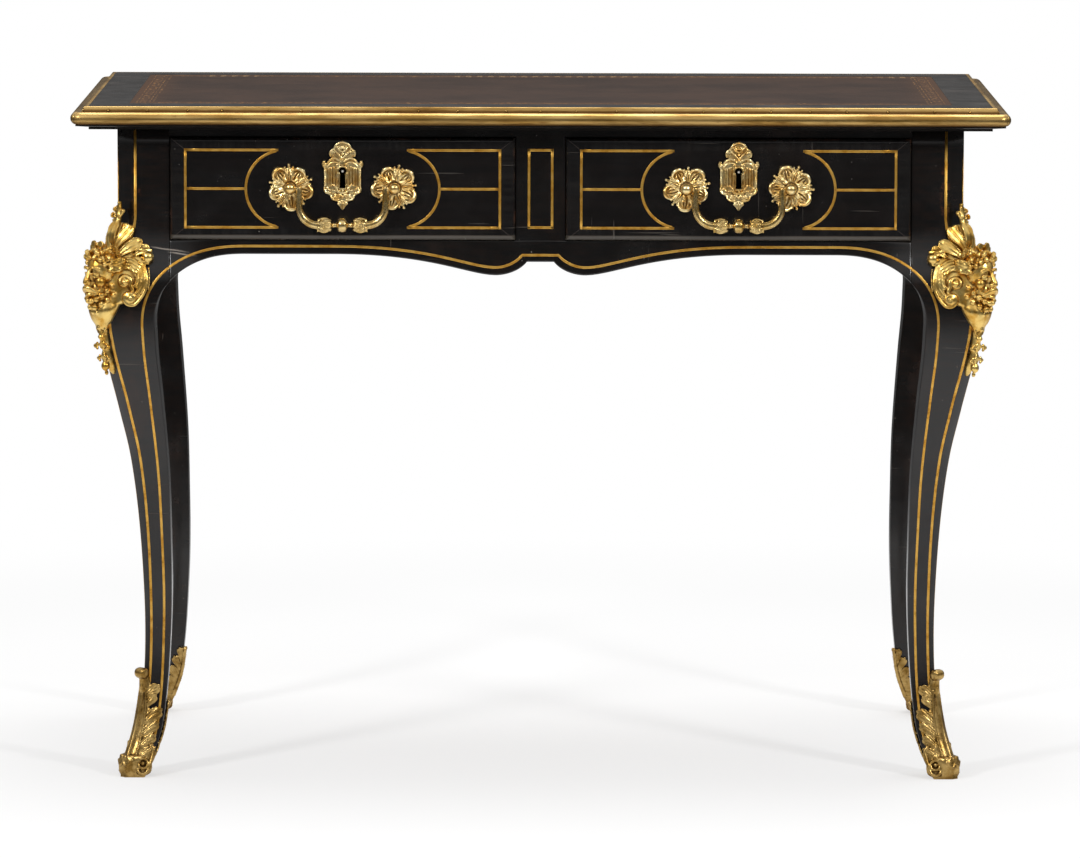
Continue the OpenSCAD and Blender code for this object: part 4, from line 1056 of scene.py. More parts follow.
def makeRails():
    nodes = {"front": "front_apron_rail", "back": "rear_frieze", "right": "side_frieze_right",
             "left": "side_frieze_left"}
    for side, node in nodes.items():
        points, faces = railShape(rails[railSides[side]])
        rail = makePiece(node, turnTo(side)(points), faces, friezeBlack)
        mount(rail, "carcass", node)


# Brass stringing: flat ribbons that follow a surface
inlay = {"width": 3.0, "proud": 0.14, "deep": 0.9, "soft": 0.5}


def ribbon(path, normals, closed=False):
    path, normals = np.asarray(path, float), np.asarray(normals, float)
    n = len(path)
    rings = []
    w, s = inlay["width"] / 2, inlay["soft"]
    for i in range(n):
        if closed:
            along = path[(i + 1) % n] - path[i - 1]
        else:
            along = path[min(i + 1, n - 1)] - path[max(i - 1, 0)]
        t, up = unit(along), unit(normals[i])
        side = unit(np.cross(t, up))
        profile = [(-w, -inlay["deep"]), (-w, -0.05), (-w + s, inlay["proud"]), (w - s, inlay["proud"]),
                   (w, -0.05), (w, -inlay["deep"])]
        rings.append([path[i] + side * a + up * b for a, b in profile])
    if not closed:
        return outward(loft(rings))
    count = 6
    points = np.concatenate([np.asarray(r) for r in rings + rings[:1]])
    faces = gridFaces(len(rings) + 1, count, True)
    faces = [[k % (n * count) for k in f] for f in faces]
    return outward((points[:n * count], faces))


def frameLoop(halfWidth, y, low, high):
    # mitred rectangle as four straight ribbons
    half = inlay["width"] / 2
    x, low, high = halfWidth - half, low + half, high - half
    ends = [((-x, low), (x, low)), ((-x, high), (x, high)), ((-x, low), (-x, high)), ((x, low), (x, high))]
    shells = []
    for a, b in ends:
        a, b = np.array(a, float), np.array(b, float)
        t = unit(b - a) * half
        a, b = a - t, b + t
        path = [(a[0] + (b[0] - a[0]) * s, y, a[1] + (b[1] - a[1]) * s) for s in np.linspace(0, 1, 9)]
        shells.append(ribbon(path, [(0, 1, 0)] * len(path)))
    return shells


def panelLines(y):
    # stringing of a drawer front, drawn facing +Y round x = 0
    ring, half = frontPanel["ring"], inlay["width"] / 2
    h = frontPanel["height"] / 2 - frontPanel["top"]
    w = frontPanel["width"] / 2 - frontPanel["side"]
    middle = frontPanel["low"] + frontPanel["height"] / 2
    # the half circle ends where it meets the frame's long lines
    inset = 9
    tip, end = ring + inset, math.acos(inset / h)
    lines = []
    for s in (-1, 1):
        lines.append([(s * w, z) for z in np.linspace(middle - h - half, middle + h + half, 9)])
        for z in (-h, h):
            lines.append([(s * x, middle + z) for x in np.linspace(tip - 2, w - half, 9)])
        lines.append([(s * x, middle) for x in np.linspace(ring + h, w - half, 7)])
        angles = np.linspace(-end, end, 41)
        lines.append([(s * (ring + h * math.cos(a)), middle + h * math.sin(a)) for a in angles])
    return [ribbon([(x, y, z) for x, z in line], [(0, 1, 0)] * len(line)) for line in lines]


def railString(key):
    rail = rails[key]
    edge = railEdge(rail, swell["stringIn"])
    edge = [p for p in edge if p[0] <= rail["half"] + 0.5]
    middle = [(x, z) for x, z in np.linspace((-edge[0][0], edge[0][1]), edge[0], 5)[1:-1]]
    path = [(-x, z) for x, z in edge[::-1]] + middle + edge
    points, normals = [], []
    for x, z in path:
        y = rail["face"] + swellAt(rail, x, z)
        dx = (swellAt(rail, x + 0.5, z) - swellAt(rail, x - 0.5, z))
        dz = (swellAt(rail, x, z + 0.5) - swellAt(rail, x, z - 0.5))
        points.append((x, y, z))
        normals.append((-dx, 1, -dz))
    return [ribbon(points, normals)]


def makeFriezeStrings():
    half = inlay["width"] / 2
    low = frontPanel["low"] + frontPanel["top"] - half
    high = frontPanel["low"] + frontPanel["height"] - frontPanel["top"] + half
    drawn = [(side, railString(key)) for side, key in railSides.items()]
    drawn += [(side, frameLoop(desk["mullion"] / 2 - 13, caseY, low, high)) for side in ("front", "back")]
    drawn += [(side, frameLoop(bayY - 14, caseX, low, high)) for side in ("left", "right")]
    shells = [(turnTo(side)(p), f) for side, parts in drawn for p, f in parts]
    panel = panelLines(desk["faceY"])
    shells += [(p + [sx * desk["drawerX"], 0, 0], f) for sx in (-1, 1) for p, f in panel]
    mount(makePiece("frieze_strings", *joinShells(shells), stringBrass), "carcass",
          "frieze_strings")
    for sx, side in ((-1, "left"), (1, "right")):
        name = side + "_drawer_strings"
        shells = [(turnTo("front")(p) + [sx * desk["drawerX"], 0, 0], f) for p, f in panel]
        mount(makePiece(name, *joinShells(shells), stringBrass), side + "_drawer", name)


def legStringPaths():
    # on the face that looks towards +Y: x counts from the post's outer face
    half = inlay["width"] / 2
    outer = []
    for z in list(np.linspace(30, archTop + 40, 110)) + [desk["caseTop"] - 1]:
        outer.append((outAt(z) - cantAt(z) - half - 0.3, z))
    inner = [(inAt(z) + curve(innerString, z) - postWidth, z) for z in np.linspace(41, kneeZ - 1, 80)]
    w = desk["archWidth"] + swell["kneeString"]
    for a in np.linspace(0.02, archEnd(w) + math.radians(4), 26):
        x, z = archPoint(w, desk["archHeight"] + swell["stringIn"], a)
        if x >= -0.4:
            inner.append((x - postWidth, z))
    return outer, inner


def makeLegStrings():
    shells = []
    for path in legStringPaths():
        points = [(x, outAt(z), z) for x, z in path]
        normals = [(0, 1, outAt(z - 0.5) - outAt(z + 0.5)) for x, z in path]
        shells += swapped([ribbon(points, normals)])
    points, faces = joinShells(shells)
    whole = [(toCorner(sx, sy)(points), faces if sx * sy > 0 else turnFaces(faces))
             for sx, sy in corners.values()]
    mount(makePiece("leg_strings", *joinShells(whole), stringBrass), "carcass", "leg_strings")


makeLegs()
makeRails()
makeFriezeStrings()
makeLegStrings()
print("legs, rails and stringing ready")


# Geometry Nodes groups: leaves or beads round an axis, and pins along a line
def nodeGroup(name, inputs):
    tree = bpy.data.node_groups.new(name, "GeometryNodeTree")
    for label, kind, value in [("Geometry", "Geometry", None)] + inputs + [("Material", "Material", None)]:
        socket = tree.interface.new_socket(label, in_out="INPUT", socket_type="NodeSocket" + kind)
        if value is not None:
            socket.default_value = value
    tree.interface.new_socket("Geometry", in_out="OUTPUT", socket_type="NodeSocketGeometry")
    return tree, fieldsOf(addNode(tree, "NodeGroupInput")), addNode(tree, "NodeGroupOutput").inputs


def instanceAll(tree, i, o, points, turn, size):
    thing = makeField(tree, "GeometryNodeObjectInfo", {"Object": i["Thing"]}, "Geometry")
    inputs = {"Points": points, "Instance": thing, "Rotation": turn, "Scale": size}
    real = makeField(tree, "GeometryNodeRealizeInstances",
                     {0: makeField(tree, "GeometryNodeInstanceOnPoints", inputs)})
    both = addNode(tree, "GeometryNodeJoinGeometry")
    for part in (i["Geometry"], real):
        feed(both.inputs[0], part)
    inputs = {"Geometry": Field(both.outputs[0]), "Material": i["Material"]}
    feed(o["Geometry"], makeField(tree, "GeometryNodeSetMaterial", inputs))


def randomUpTo(reach, seed):
    inputs = {"Min": reach * -1, "Max": reach, "Seed": seed}
    return makeField(treeOf(reach), "FunctionNodeRandomValue", inputs, "Value", data_type="FLOAT")


def variedSize(i):
    return i["Size"] * (randomUpTo(i["Wobble"], i["Seed"]) + 1.0)


def vectorMaths(operation, inputs):
    return makeField(treeOf(*inputs.values()), "ShaderNodeVectorMath", inputs, operation=operation)


def makeRing():
    tree, i, o = nodeGroup("ringOf", [
        ("Thing", "Object", None), ("Count", "Int", 8), ("Axis", "Vector", (0, 1, 0)), ("Turn", "Float", 0.0),
        ("Size", "Float", 1.0), ("Wobble", "Float", 0.05), ("Seed", "Int", 3)])
    spots = makeField(tree, "GeometryNodePoints", {"Count": i["Count"]})
    index = makeField(tree, "GeometryNodeInputIndex")
    angle = maths("MULTIPLY_ADD", index, maths("DIVIDE", 2 * math.pi, i["Count"]), i["Turn"])
    instanceAll(tree, i, o, spots, vectorMaths("SCALE", {0: i["Axis"], "Scale": angle}), variedSize(i))
    return tree


def makeRow():
    tree, i, o = nodeGroup("rowOf", [
        ("Thing", "Object", None), ("Count", "Int", 8), ("Start", "Vector", (0, 0, 0)),
        ("End", "Vector", (1, 0, 0)),
        ("Size", "Float", 1.0), ("Wobble", "Float", 0.05), ("Stray", "Float", 0.0), ("Seed", "Int", 3)])
    inputs = {"Count": i["Count"], "Start Location": i["Start"], "Offset": i["End"]}
    line = makeField(tree, "GeometryNodeMeshLine", inputs, mode="END_POINTS")
    away = vectorMaths("SUBTRACT", {0: i["End"], 1: i["Start"]})
    share = maths("DIVIDE", randomUpTo(i["Stray"], i["Seed"]), i["Count"])
    inputs = {"Geometry": line, "Offset": vectorMaths("SCALE", {0: away, "Scale": share})}
    instanceAll(tree, i, o, makeField(tree, "GeometryNodeSetPosition", inputs), (0, 0, 0), variedSize(i))
    return tree


ringOf = makeRing()
rowOf = makeRow()


# Plain mesh from a base shell and what the node groups set on it, in millimetres
def growShell(name, base, sets, material):
    carrier = makePiece(name, *base, material)
    things = []
    for k, (group, shell, values) in enumerate(sets):
        thing = makePiece(name + "Thing" + str(k), *shell, material)
        things.append(thing)
        modifier = carrier.modifiers.new("grow" + str(k), "NODES")
        modifier.node_group = group
        wanted = dict(values, Thing=thing, Material=material)
        for item in group.interface.items_tree:
            if item.item_type == "SOCKET" and item.in_out == "INPUT" and item.name in wanted:
                modifier[item.identifier] = wanted[item.name]
    done = evaluated(carrier)
    for thing in things:
        bpy.data.objects.remove(thing)
    return readShell(done)


# Brass edge of the top: lip, groove and rounded nose, mitred at the corners
edging = {"nose": 7, "corner": 12, "lip": 5, "groove": 1.2, "height": 20, "bottom": 742}


def edgeProfile():
    # distance from the inner line, height over the moulding's underside
    w, r, lip, high = desk["edgeWidth"], edging["nose"], edging["lip"], edging["height"]
    profile = [(0.0, 0.0), (0.0, high - 0.5), (0.5, high), (lip * 0.5, high), (lip - 0.7, high - 0.1),
               (lip, high - 0.8)]
    floor = 2 * r - 2.2
    profile += [(lip, floor + 0.5), (lip + 0.3, floor), (lip + 0.9, floor),
                (lip + edging["groove"], floor + 0.5)]
    profile += [(lip + edging["groove"], 2 * r - 1.5), (lip + edging["groove"] + 0.7, 2 * r - 0.8),
                (9.5, 2 * r - 0.75), (11.6, 2 * r - 0.5)]
    for k in range(15):
        a = math.pi / 2 - math.pi * k / 14
        profile.append((w - r + r * math.cos(a), r + r * math.sin(a)))
    profile += [(w - r - 0.6, 0.0)]
    return [(d if abs(d - (w - edging["corner"])) > 0.05 else d + 0.1, h) for d, h in profile]


def edgeBar(half, out):
    pivot = desk["edgeWidth"] - edging["corner"]
    profile = edgeProfile()
    stations = [("arc", -math.pi / 4 * k / 6) for k in range(6, 0, -1)]
    stations += [("run", s) for s in np.linspace(-1, 1, 90)]
    stations += [("arc", math.pi / 4 * k / 6) for k in range(1, 7)]
    # inside the corner's centre the section stops this short of the mitre
    shy = 0.35
    rings = []
    for kind, s in stations:
        ring = []
        for d, h in profile:
            if kind == "run":
                x, y = s * (half + pivot if d > pivot else half + d - shy), out + d
            else:
                sign = 1 if s > 0 else -1
                a = abs(s)
                if d > pivot:
                    x, y = half + pivot + (d - pivot) * math.sin(a), out + pivot + (d - pivot) * math.cos(a)
                else:
                    x, y = half + d - shy * (1 - a / (math.pi / 4)), out + d
                x *= sign
            ring.append((x, y, edging["bottom"] + h))
        rings.append(ring)
    points, faces = outward(loft(rings))
    # darker in the groove; painted shade along the underside and over the lower part of the nose
    profileShade = []
    for d, h in profile:
        if edging["lip"] - 0.1 < d < edging["lip"] + edging["groove"] + 0.2 and h < edging["height"] - 1.2:
            profileShade.append(1.0)
        elif h < 1.5:
            profileShade.append(0.9)
        else:
            profileShade.append(max(0, 0.55 * (1 - h / 7)) if d > edging["corner"] else 0.0)
    return points, faces, np.array(profileShade * len(stations) + [0.5, 0.5])


# Pins along the lip's front face, by Geometry Nodes: a sunk dark ring round a low dome
edgePins = {"gap": 43, "radius": 1.75, "height": 757.6, "end": 24}
# radius as a share, and how far each ring of a pin stands out
pinRings = ((0.95, -0.6), (1, 0.1), (0.78, 0.16), (0.66, 0.1), (0.62, 0.36), (0.4, 0.52), (0.12, 0.6))


def edgePinRow(half, out):
    reach, height = half - edgePins["end"], edgePins["height"]
    count = 2 * round(reach / edgePins["gap"]) + 1
    y = out + edging["lip"]
    angles = np.linspace(0, 2 * math.pi, 12, endpoint=False)
    rings = [[(edgePins["radius"] * r * math.cos(a), high, edgePins["radius"] * r * math.sin(a))
              for a in angles]
             for r, high in pinRings]
    pin = outward(loft(rings))
    points, faces = growShell("edgePins", (pin[0] + [0, y, height], pin[1]), [
        (rowOf, pin, {"Count": count, "Start": (-reach * mm, y * mm, height * mm),
                      "End": (reach * mm, y * mm, height * mm),
                      "Size": 1.0, "Wobble": 0.12, "Stray": 0.22, "Seed": 11}),
    ], edgeBrass)
    return points, faces, np.where(points[:, 1] - y < 0.2, 1.0, 0.1)


def makeTopEdge():
    for side in ("front", "back", "left", "right"):
        half, out = (innerX, innerY) if side in ("front", "back") else (innerY, innerX)
        bar, pins = edgeBar(half, out), edgePinRow(half, out)
        points, faces = joinShells([bar[:2], pins[:2]])
        name = "top_edge_" + side
        piece = makePiece(name, turnTo(side)(points), faces, edgeBrass)
        setHollow(piece, np.concatenate([bar[2], pins[2]]))
        mount(piece, "carcass", name)


makeTopEdge()
print("brass edge ready")

# Gilt bronze casts, drawn in corner coordinates: u runs out along the diagonal, v across it
root2 = math.sqrt(2)
diagonalAxes = [(1 / root2, 1 / root2, 0), (1 / root2, -1 / root2, 0), (0, 0, 1)]


def diagonal(u, v, z):
    return np.array([(u + v) / root2, (u - v) / root2, z])


def onFace(a, z, h=0.0):
    return np.array([a, outAt(z) + h, z])


def along(a, z):
    # distance from the diagonal along the surface, for a point of the face
    return cantAt(z) / root2 + outAt(z) - cantAt(z) - a


def onCorner(s, z, h=0.0):
    half, side = cantAt(z) / root2, abs(s)
    if side <= half:
        a, b, _ = diagonal(diagAt(z), -side, z)
    else:
        a, b = outAt(z) - cantAt(z) - (side - half), outAt(z)
    turn = math.pi / 4 * (1 - float(smoothstep((side - half + 5) / 10)))
    point = np.array([a + h * math.sin(turn), b + h * math.cos(turn), z])
    return point if s >= 0 else point[[1, 0, 2]]


def shield(rows, spot=onCorner, power=0.62, edge=1.2, across=25, steps=4):
    # plate over the corner: height, half width, crown
    rows = bend([(z, s, h) for z, s, h in rows], steps)
    rings = []
    for z, half, crown in rows:
        half = max(half, 0.6)
        sides = np.linspace(-1, 1, across)
        top = [spot(half * t, z, edge + (crown - edge) * (1 - t * t) ** power) for t in sides]
        low = [spot(half * t, z, -0.8) for t in sides[::-1]]
        rings.append(top + low)
    return outward(loft(rings))


# Curl of hair: a rising coil round a ball
def hairCurl(centre, out, radius, turns=1.5, phase=0.0, thick=1.2, fill=0.8):
    out = unit(out)
    sideA = unit(np.cross(out, [0.1, 0.2, 1]))
    sideB = np.cross(out, sideA)
    path = spiral(centre, sideA, sideB, radius - thick, 0.6, turns, phase, 20)
    path = [p + out * (radius * 0.45 * k / len(path)) for k, p in enumerate(path)]
    return [tube(path, np.linspace(thick * 0.8, thick, len(path)), 6),
            ball(np.asarray(centre) - out * radius * 0.25, radius * fill, 6, 10)]


def scrollOn(centre, start, end, turns, phase, lift, way, steps):
    # volute on a face of the leg; the angle runs clockwise for way -1
    path = []
    for k in range(steps + 1):
        t = k / steps
        r = start + (end - start) * t ** 0.8
        angle = phase + way * 2 * math.pi * turns * t
        path.append(onFace(centre[0] - r * math.cos(angle), centre[1] + r * math.sin(angle),
                           lift[0] + (lift[1] - lift[0]) * t))
    return path


def headShells():
    d = diagonal
    shells = [
        ball(d(21, 0, 579), (19.5, 15.5, 21), 12, 20, diagonalAxes),
        ball(d(25, 0, 556), (15, 12.5, 16), 10, 18, diagonalAxes),
        tube(bend([d(40, 0, 581), d(43.6, 0, 573.5), d(47.2, 0, 567)], 4), np.linspace(2.3, 3.2, 9), 10),
        ball(d(47.4, 0, 565.6), (3, 3.3, 2.9), 8, 12, diagonalAxes),
        tube(bend([d(41.5, -5, 552.4), d(44.6, 0, 551.2), d(41.5, 5, 552.4)], 5), 1.9, 8),
        tube(bend([d(42.5, -5, 555.2), d(45.4, 0, 556), d(42.5, 5, 555.2)], 5), 1.5, 8),
    ]
    half = [
        ball(d(32.5, -8.6, 565.5), (6.4, 5.4, 6.6), 8, 12, diagonalAxes),
        ball(d(45, -3.4, 564.6), (2.5, 2.1, 2.1), 6, 10, diagonalAxes),
        ball(d(37.4, -6.8, 573.4), (3.4, 3.6, 3.2), 8, 12, diagonalAxes),
        tube(bend([d(41.5, -1.6, 580), d(42.0, -6, 582.2), d(37.5, -12, 579.6)], 6),
             np.linspace(2.1, 1.4, 13), 8),
        tube(bend([d(40.8, -3.2, 573.6), d(41.3, -6.8, 576), d(37.3, -11, 574)], 6), 0.95, 6),
        tube(bend([d(40.4, -3.4, 572.4), d(40.6, -6.8, 570.8), d(36.8, -10.6, 572)], 6), 0.85, 6),
        tube(bend([d(46.4, -0.8, 559.8), d(44.8, -5, 558.6), d(40.5, -10, 555), d(36.5, -14, 557.5)], 6),
             np.linspace(2.6, 1.4, 19), 8),
        tube(bend([d(45.6, -1.2, 558.2), d(43.2, -6, 556), d(38.5, -11, 552.5)], 6),
             np.linspace(1.8, 1.2, 13), 8),
    ]
    beard = [(42, -2.6, 544.5, 4.3), (39, -7.6, 546.5, 4.2), (34.5, -12, 550.5, 4.2), (29, -15.4, 556, 4),
             (23.5, -17.6, 561.5, 3.6),
             (38, -3.6, 537, 4.4), (33, -9, 540.5, 4.3), (27, -13.6, 545.6, 4.1), (21, -16.6, 551.5, 3.8),
             (33, -3.4, 531, 3.6)]
    for k, (u, v, z, r) in enumerate(beard):
        half += hairCurl(d(u, v, z), d(1, v / 26, (z - 556) / 700) * [1, 1, 1] , r, 1.4, k * 1.7, 1.15)
    return shells, half


def wreathShells():
    d = diagonal
    half = []
    rows = [(37.5, -4, 593, 4), (35.5, -10, 590.5, 4), (31.5, -15, 585.5, 3.9), (26.5, -18, 579, 3.6),
            (33, -1.5, 600.5, 4.2), (30.5, -9, 598.5, 4.3), (26, -15.5, 593.5, 4.3), (21, -20, 586.5, 4.1),
            (15.5, -22, 579, 3.8),
            (25.5, -4, 606.5, 4.3), (22, -12, 603, 4.5), (16, -18.5, 597.5, 4.5), (10.5, -23.5, 590, 4.2)]
    for k, (u, v, z, r) in enumerate(rows):
        half += hairCurl(d(u, v, z), (d(u - 14, v, 0)) * [1, 1, 0] + [0, 0, (z - 582) * 0.7], r, 1.3, k * 2.1,
                         1.25, 0.72)
    spots = random.Random(5)
    for k in range(13):
        angle = math.radians(8 + 13 * k)
        reach = 20 + 3 * math.sin(k * 2.3)
        v = -abs(math.cos(angle)) * reach * 0.86 - 1.2
        z = 583 + abs(math.sin(angle)) * reach
        u = 31 - 0.35 * abs(v) - 0.25 * (z - 590) + spots.uniform(-1, 2)
        half.append(ball(d(u, v, z), spots.uniform(1.7, 2.3), 6, 8))
    for u, v, z, tu, tv, tz in [(34, -6, 594, 38.5, -9, 601), (28, -14, 590, 31, -20.5, 594),
                                (29, -4, 602, 29, -7, 611), (20, -14, 599, 19, -22, 604)]:
        half.append(plume(d(u, v, z), d(tu, tv, tz), d(1, v / 30, 0.3), 7.5, 1.4, 0.9, 0.8, 1.2, 12, 9, 1))
    return half


# Leaf that widens to a round tip with a rolled rim
def plume(root, tip, up, width, lift=3.0, rim=1.4, curl=2.0, thick=1.5, steps=18, across=15, ribs=2):
    root, tip, up = (np.asarray(v, float) for v in (root, tip, up))
    t = unit(tip - root)
    length = np.linalg.norm(tip - root)
    up = unit(up - t * np.dot(up, t))
    side = np.cross(t, up)
    rings = []
    for i in range(steps + 1):
        k = 1 - (1 - i / steps) ** 1.5
        half = width / 2 * (0.42 + 0.58 * float(smoothstep(k / 0.7)))
        if k > 0.72:
            half *= math.sqrt(max(1 - ((k - 0.72) / 0.28) ** 2, 0.02))
        bulge = lift * math.sin(math.pi * min(k * 1.05, 1)) + curl * float(smoothstep((k - 0.6) / 0.4))
        top, low = [], []
        for v in np.linspace(-1, 1, across):
            rolled = rim * math.exp(-((1 - abs(v)) / 0.22) ** 2)
            rolled += rim * float(smoothstep((k - 0.82) / 0.12)) * (1 - abs(v))
            vein = 0.7 * rim * math.exp(-(v / 0.13) ** 2) * (1 - k)
            vein += 0.35 * math.cos(v * math.pi * 2 * ribs) * (1 - k * k)
            p = root + t * length * k + side * half * v + up * (bulge + rolled + vein - 0.1 * half * v * v)
            top.append(p)
            low.append(p - up * (thick + rolled + 0.6))
        rings.append(top + low[::-1])
    return outward(loft(rings))


def maskCrest():
    d = diagonal
    shells = [plume(d(6, 0, 604), d(-0.6, 0, 633), d(1, 0, 0.2), 15, 5.5, 1.2, 0.5)]
    stem = bend([d(-1, 0, 627), d(-3, 0, 636), d(-4.2, 0, 644), d(-4.6, 0, 652.4)], 5)
    shells += [tube(stem, np.linspace(4.2, 2.5, len(stem)), 8),
               ball(d(-4.0, 0, 651.8), (2.6, 2.8, 2.3), 6, 10), ball(d(-3.0, 0, 638), (3.4, 4.2, 1.8), 6, 10)]
    half = [ball(d(-4.6, -5.6, 643), 2.6, 8, 10),
            tube(bend([d(-3.4, -0.6, 636.5), d(-3.8, -3.4, 639), d(-4.5, -5.2, 642)], 4), 2.0, 8),
            ball(d(-3.5, -2.4, 647.8), 1.5, 6, 8)]
    half += [
        plume(d(8, -3, 600), onFace(-18.6, 626.4, 5), (0.5, 1, 0.15), 14.5, 4, 1.5, 1.6),
        plume(d(9, -10, 593), onFace(-28.6, 611.2, 5), (0.3, 1, 0.15), 13.5, 4, 1.5, 1.6),
        plume(onFace(-20, 594, 6), onFace(-36.4, 604.6, 5.5), (0.1, 1, 0.3), 9.5, 2.6, 1.1, 1.4),
        ball(onFace(-35.2, 592.2, 5), 6.9, 12, 18),
        tube(bend([onFace(-24, 600, 7), onFace(-31, 600.4, 8.4), onFace(-39.4, 599.4, 5.4)], 4), 1.8, 8),
        tube(bend([onFace(-27, 588, 6), onFace(-31, 586.4, 7), onFace(-36, 585.2, 5)], 4), 1.5, 8),
    ]
    return shells, half


# Beside the head: a ribbed band that rolls up at its foot, a smaller roll over it and locks of hair
def maskScrolls():
    d = diagonal
    centre = (-15.9, 547.4)
    outer = [(-27.4, 592), (-31.4, 584), (-34.4, 573), (-34.8, 563.6), (-31.8, 553.6), (-26.6, 545.6)]
    rim = [onFace(a, z, 6) for a, z in outer]
    rim += scrollOn(centre, 9.2, 1.4, 1.55, math.radians(-52), (6.8, 10.8), -1, 28)
    rim = bend(rim, 3)
    half = [tube(rim, np.interp(np.linspace(0, 1, len(rim)), (0, 0.2, 0.5, 1), (1.3, 2.0, 1.7, 1.25)), 8)]
    # ribs inside the rim, each a little further in and ending under the volute
    for k, (thick, lift) in enumerate(((2.2, 6.8), (2.0, 7.4), (1.9, 7.6), (1.7, 7))):
        shift = 3.6 + 3.3 * k
        path = [(a + shift * (0.75 + 0.25 * j / 5), z + 0.5 * shift * (1 if j > 3 else 0))
                for j, (a, z) in enumerate(outer)]
        path = path[:5 if k > 1 else 6]
        path = bend([onFace(a, z, lift - 0.5 * max(j - 3, 0)) for j, (a, z) in enumerate(path)], 5)
        half.append(tube(path, np.interp(np.linspace(0, 1, len(path)), (0, 0.5, 1),
                                         (thick * 0.7, thick, thick * 0.6)), 8))
    half += [tube([onFace(*centre, 0), onFace(*centre, 4.6)], 9.2, 20),
             ball(onFace(*centre, 8.6), (2.6, 3, 2.6), 8, 12)]
    centre = (-9.6, 565.6)
    roll = bend([onFace(-19, 556, 7)] + scrollOn(centre, 8.2, 1.4, 1.6, math.radians(-30), (7.4, 13), 1, 22),
                3)
    half.append(tube(roll, np.linspace(2.0, 1.3, len(roll)), 8))
    half += [tube([onFace(*centre, 0), onFace(*centre, 7)], 7.6, 18),
             ball(onFace(*centre, 12), (2.4, 2.6, 2.4), 8, 12)]
    for k in range(10):
        t = k / 9
        half.append(ball(onFace(-36.2 - 0.9 * math.sin(math.pi * t), 580 - 23 * t, 3), 1.3, 5, 8))
    for k in range(8):
        t = k / 7
        path = [d(27 - 5 * t, -15.5 - 4 * t, 586 - 9 * t), d(17 - 4 * t, -22, 590 - 10 * t),
                onFace(-12 + 1.5 * t, 592 - 11 * t, 11 - 2 * t),
                onFace(-20 + 3 * t, 590 - 12 * t, 9.5), onFace(-26.5 + 4.5 * t, 583 - 10 * t, 8.5)]
        path = bend([p + [0, 0, 1.3 * math.sin(3 * k + 2 * j)] for j, p in enumerate(path)], 5)
        half.append(tube(path, np.linspace(2.2, 1.3, len(path)), 7))
    return half


def maskPendant():
    d = diagonal
    stem = [(514, 5.5, 8), (505, 4, 9.5), (496, 4.2, 9.2), (487, 3, 8.2), (479, 3.8, 8.6), (470, 4, 7.6),
            (463, 2.6, 5), (459.5, 1.2, 2.4)]
    shells = [shield(stem, across=15)]
    for k in range(5):
        a = math.pi / 2 + 2 * math.pi * k / 5
        shells.append(plume(d(24, 0, 513.5), d(23.4, 8.8 * math.cos(a), 513.5 + 8 * math.sin(a)), d(1, 0, 0),
                            8.4, 1.6, 0.8, 1.2, 1.3, 12, 9, 1))
    shells += [ball(d(27, 0, 513.5), 2.6), ball(d(24.2, 0, 502.6), (3.8, 4, 3), 8, 12, diagonalAxes)]
    shells += [plume(d(22.6, 0, 501), d(21.4, 0, 488.4), d(1, 0, 0), 7.6, 2, 0.7, 1, 1.3, 12, 9, 1),
               plume(d(20.4, 0, 488), d(19.2, 0, 474.5), d(1, 0, 0), 6.8, 2, 0.7, 1, 1.3, 12, 9, 1)]
    shells += [ball(d(18.2, 0, 469.5), (4.4, 5, 5.6), 8, 12, diagonalAxes),
               ball(d(16.2, 0, 461.8), (2.4, 2.2, 3), 6, 10, diagonalAxes)]
    half = []
    for u, v, z, r in [(23, -10.6, 491.9, 2.7), (20.2, -8.6, 478, 2.4)]:
        half += [ball(d(u, v, z), r, 8, 10), ball(d(u + 0.4, v * 0.7, z - 2.6), r * 0.66),
                 ball(d(u + 0.4, v * 0.72, z + 3), r * 0.66),
                 tube(bend([d(u - 0.5, 0, z + 4), d(u, v * 0.5, z + 1.6), d(u, v, z)], 4), 1.5, 8)]
    return shells, half


def maskShape():
    shells, half = headShells()
    half += wreathShells()
    for part in (maskCrest(), maskPendant()):
        shells += part[0]
        half += part[1]
    half += maskScrolls()
    # plate that holds the parts together, and the smooth mantle under the beard
    plate = [(629, 4, 5), (620, along(-12, 620), 7), (611, along(-20, 611), 7), (602, along(-29, 602), 7),
             (592, along(-33, 592), 7),
             (583, along(-29, 583), 8), (573, along(-32, 573), 8), (564, along(-33, 564), 8),
             (554, along(-30, 554), 8), (546, along(-20, 546), 9),
             (540, along(-8, 540), 11)]
    shells.append(shield(plate, steps=3))
    mantle = [(546, along(-8, 546), 8), (540, along(-5, 540), 11.5), (534, along(-2.4, 534), 13.4),
              (528, along(0.6, 528), 12.8), (521, along(4.4, 521), 11),
              (516.5, 8.5, 9.4), (512, 6.4, 8.5)]
    shells.append(shield(mantle, power=0.5, edge=1.8, across=33))
    return cast("mask", shells + swapped(half), 0.74, 1, keep=0.55)


def castAtCorners(word, shape, material):
    for name, (sx, sy) in corners.items():
        piece = castPiece(word + name, shape, material, toCorner(sx, sy), sx * sy < 0)
        mount(piece, "carcass", word + name)


def onInner(s, z, h=0.0):
    # inner corner of the leg: out from its arris along the two inner faces
    into = inAt(z) - postWidth
    side = abs(s)
    turn = math.pi / 4 * (1 - float(smoothstep((side + 3) / 8)))
    point = np.array([into + side - h * math.sin(turn), into - h * math.cos(turn), z])
    return point if s >= 0 else point[[1, 0, 2]]


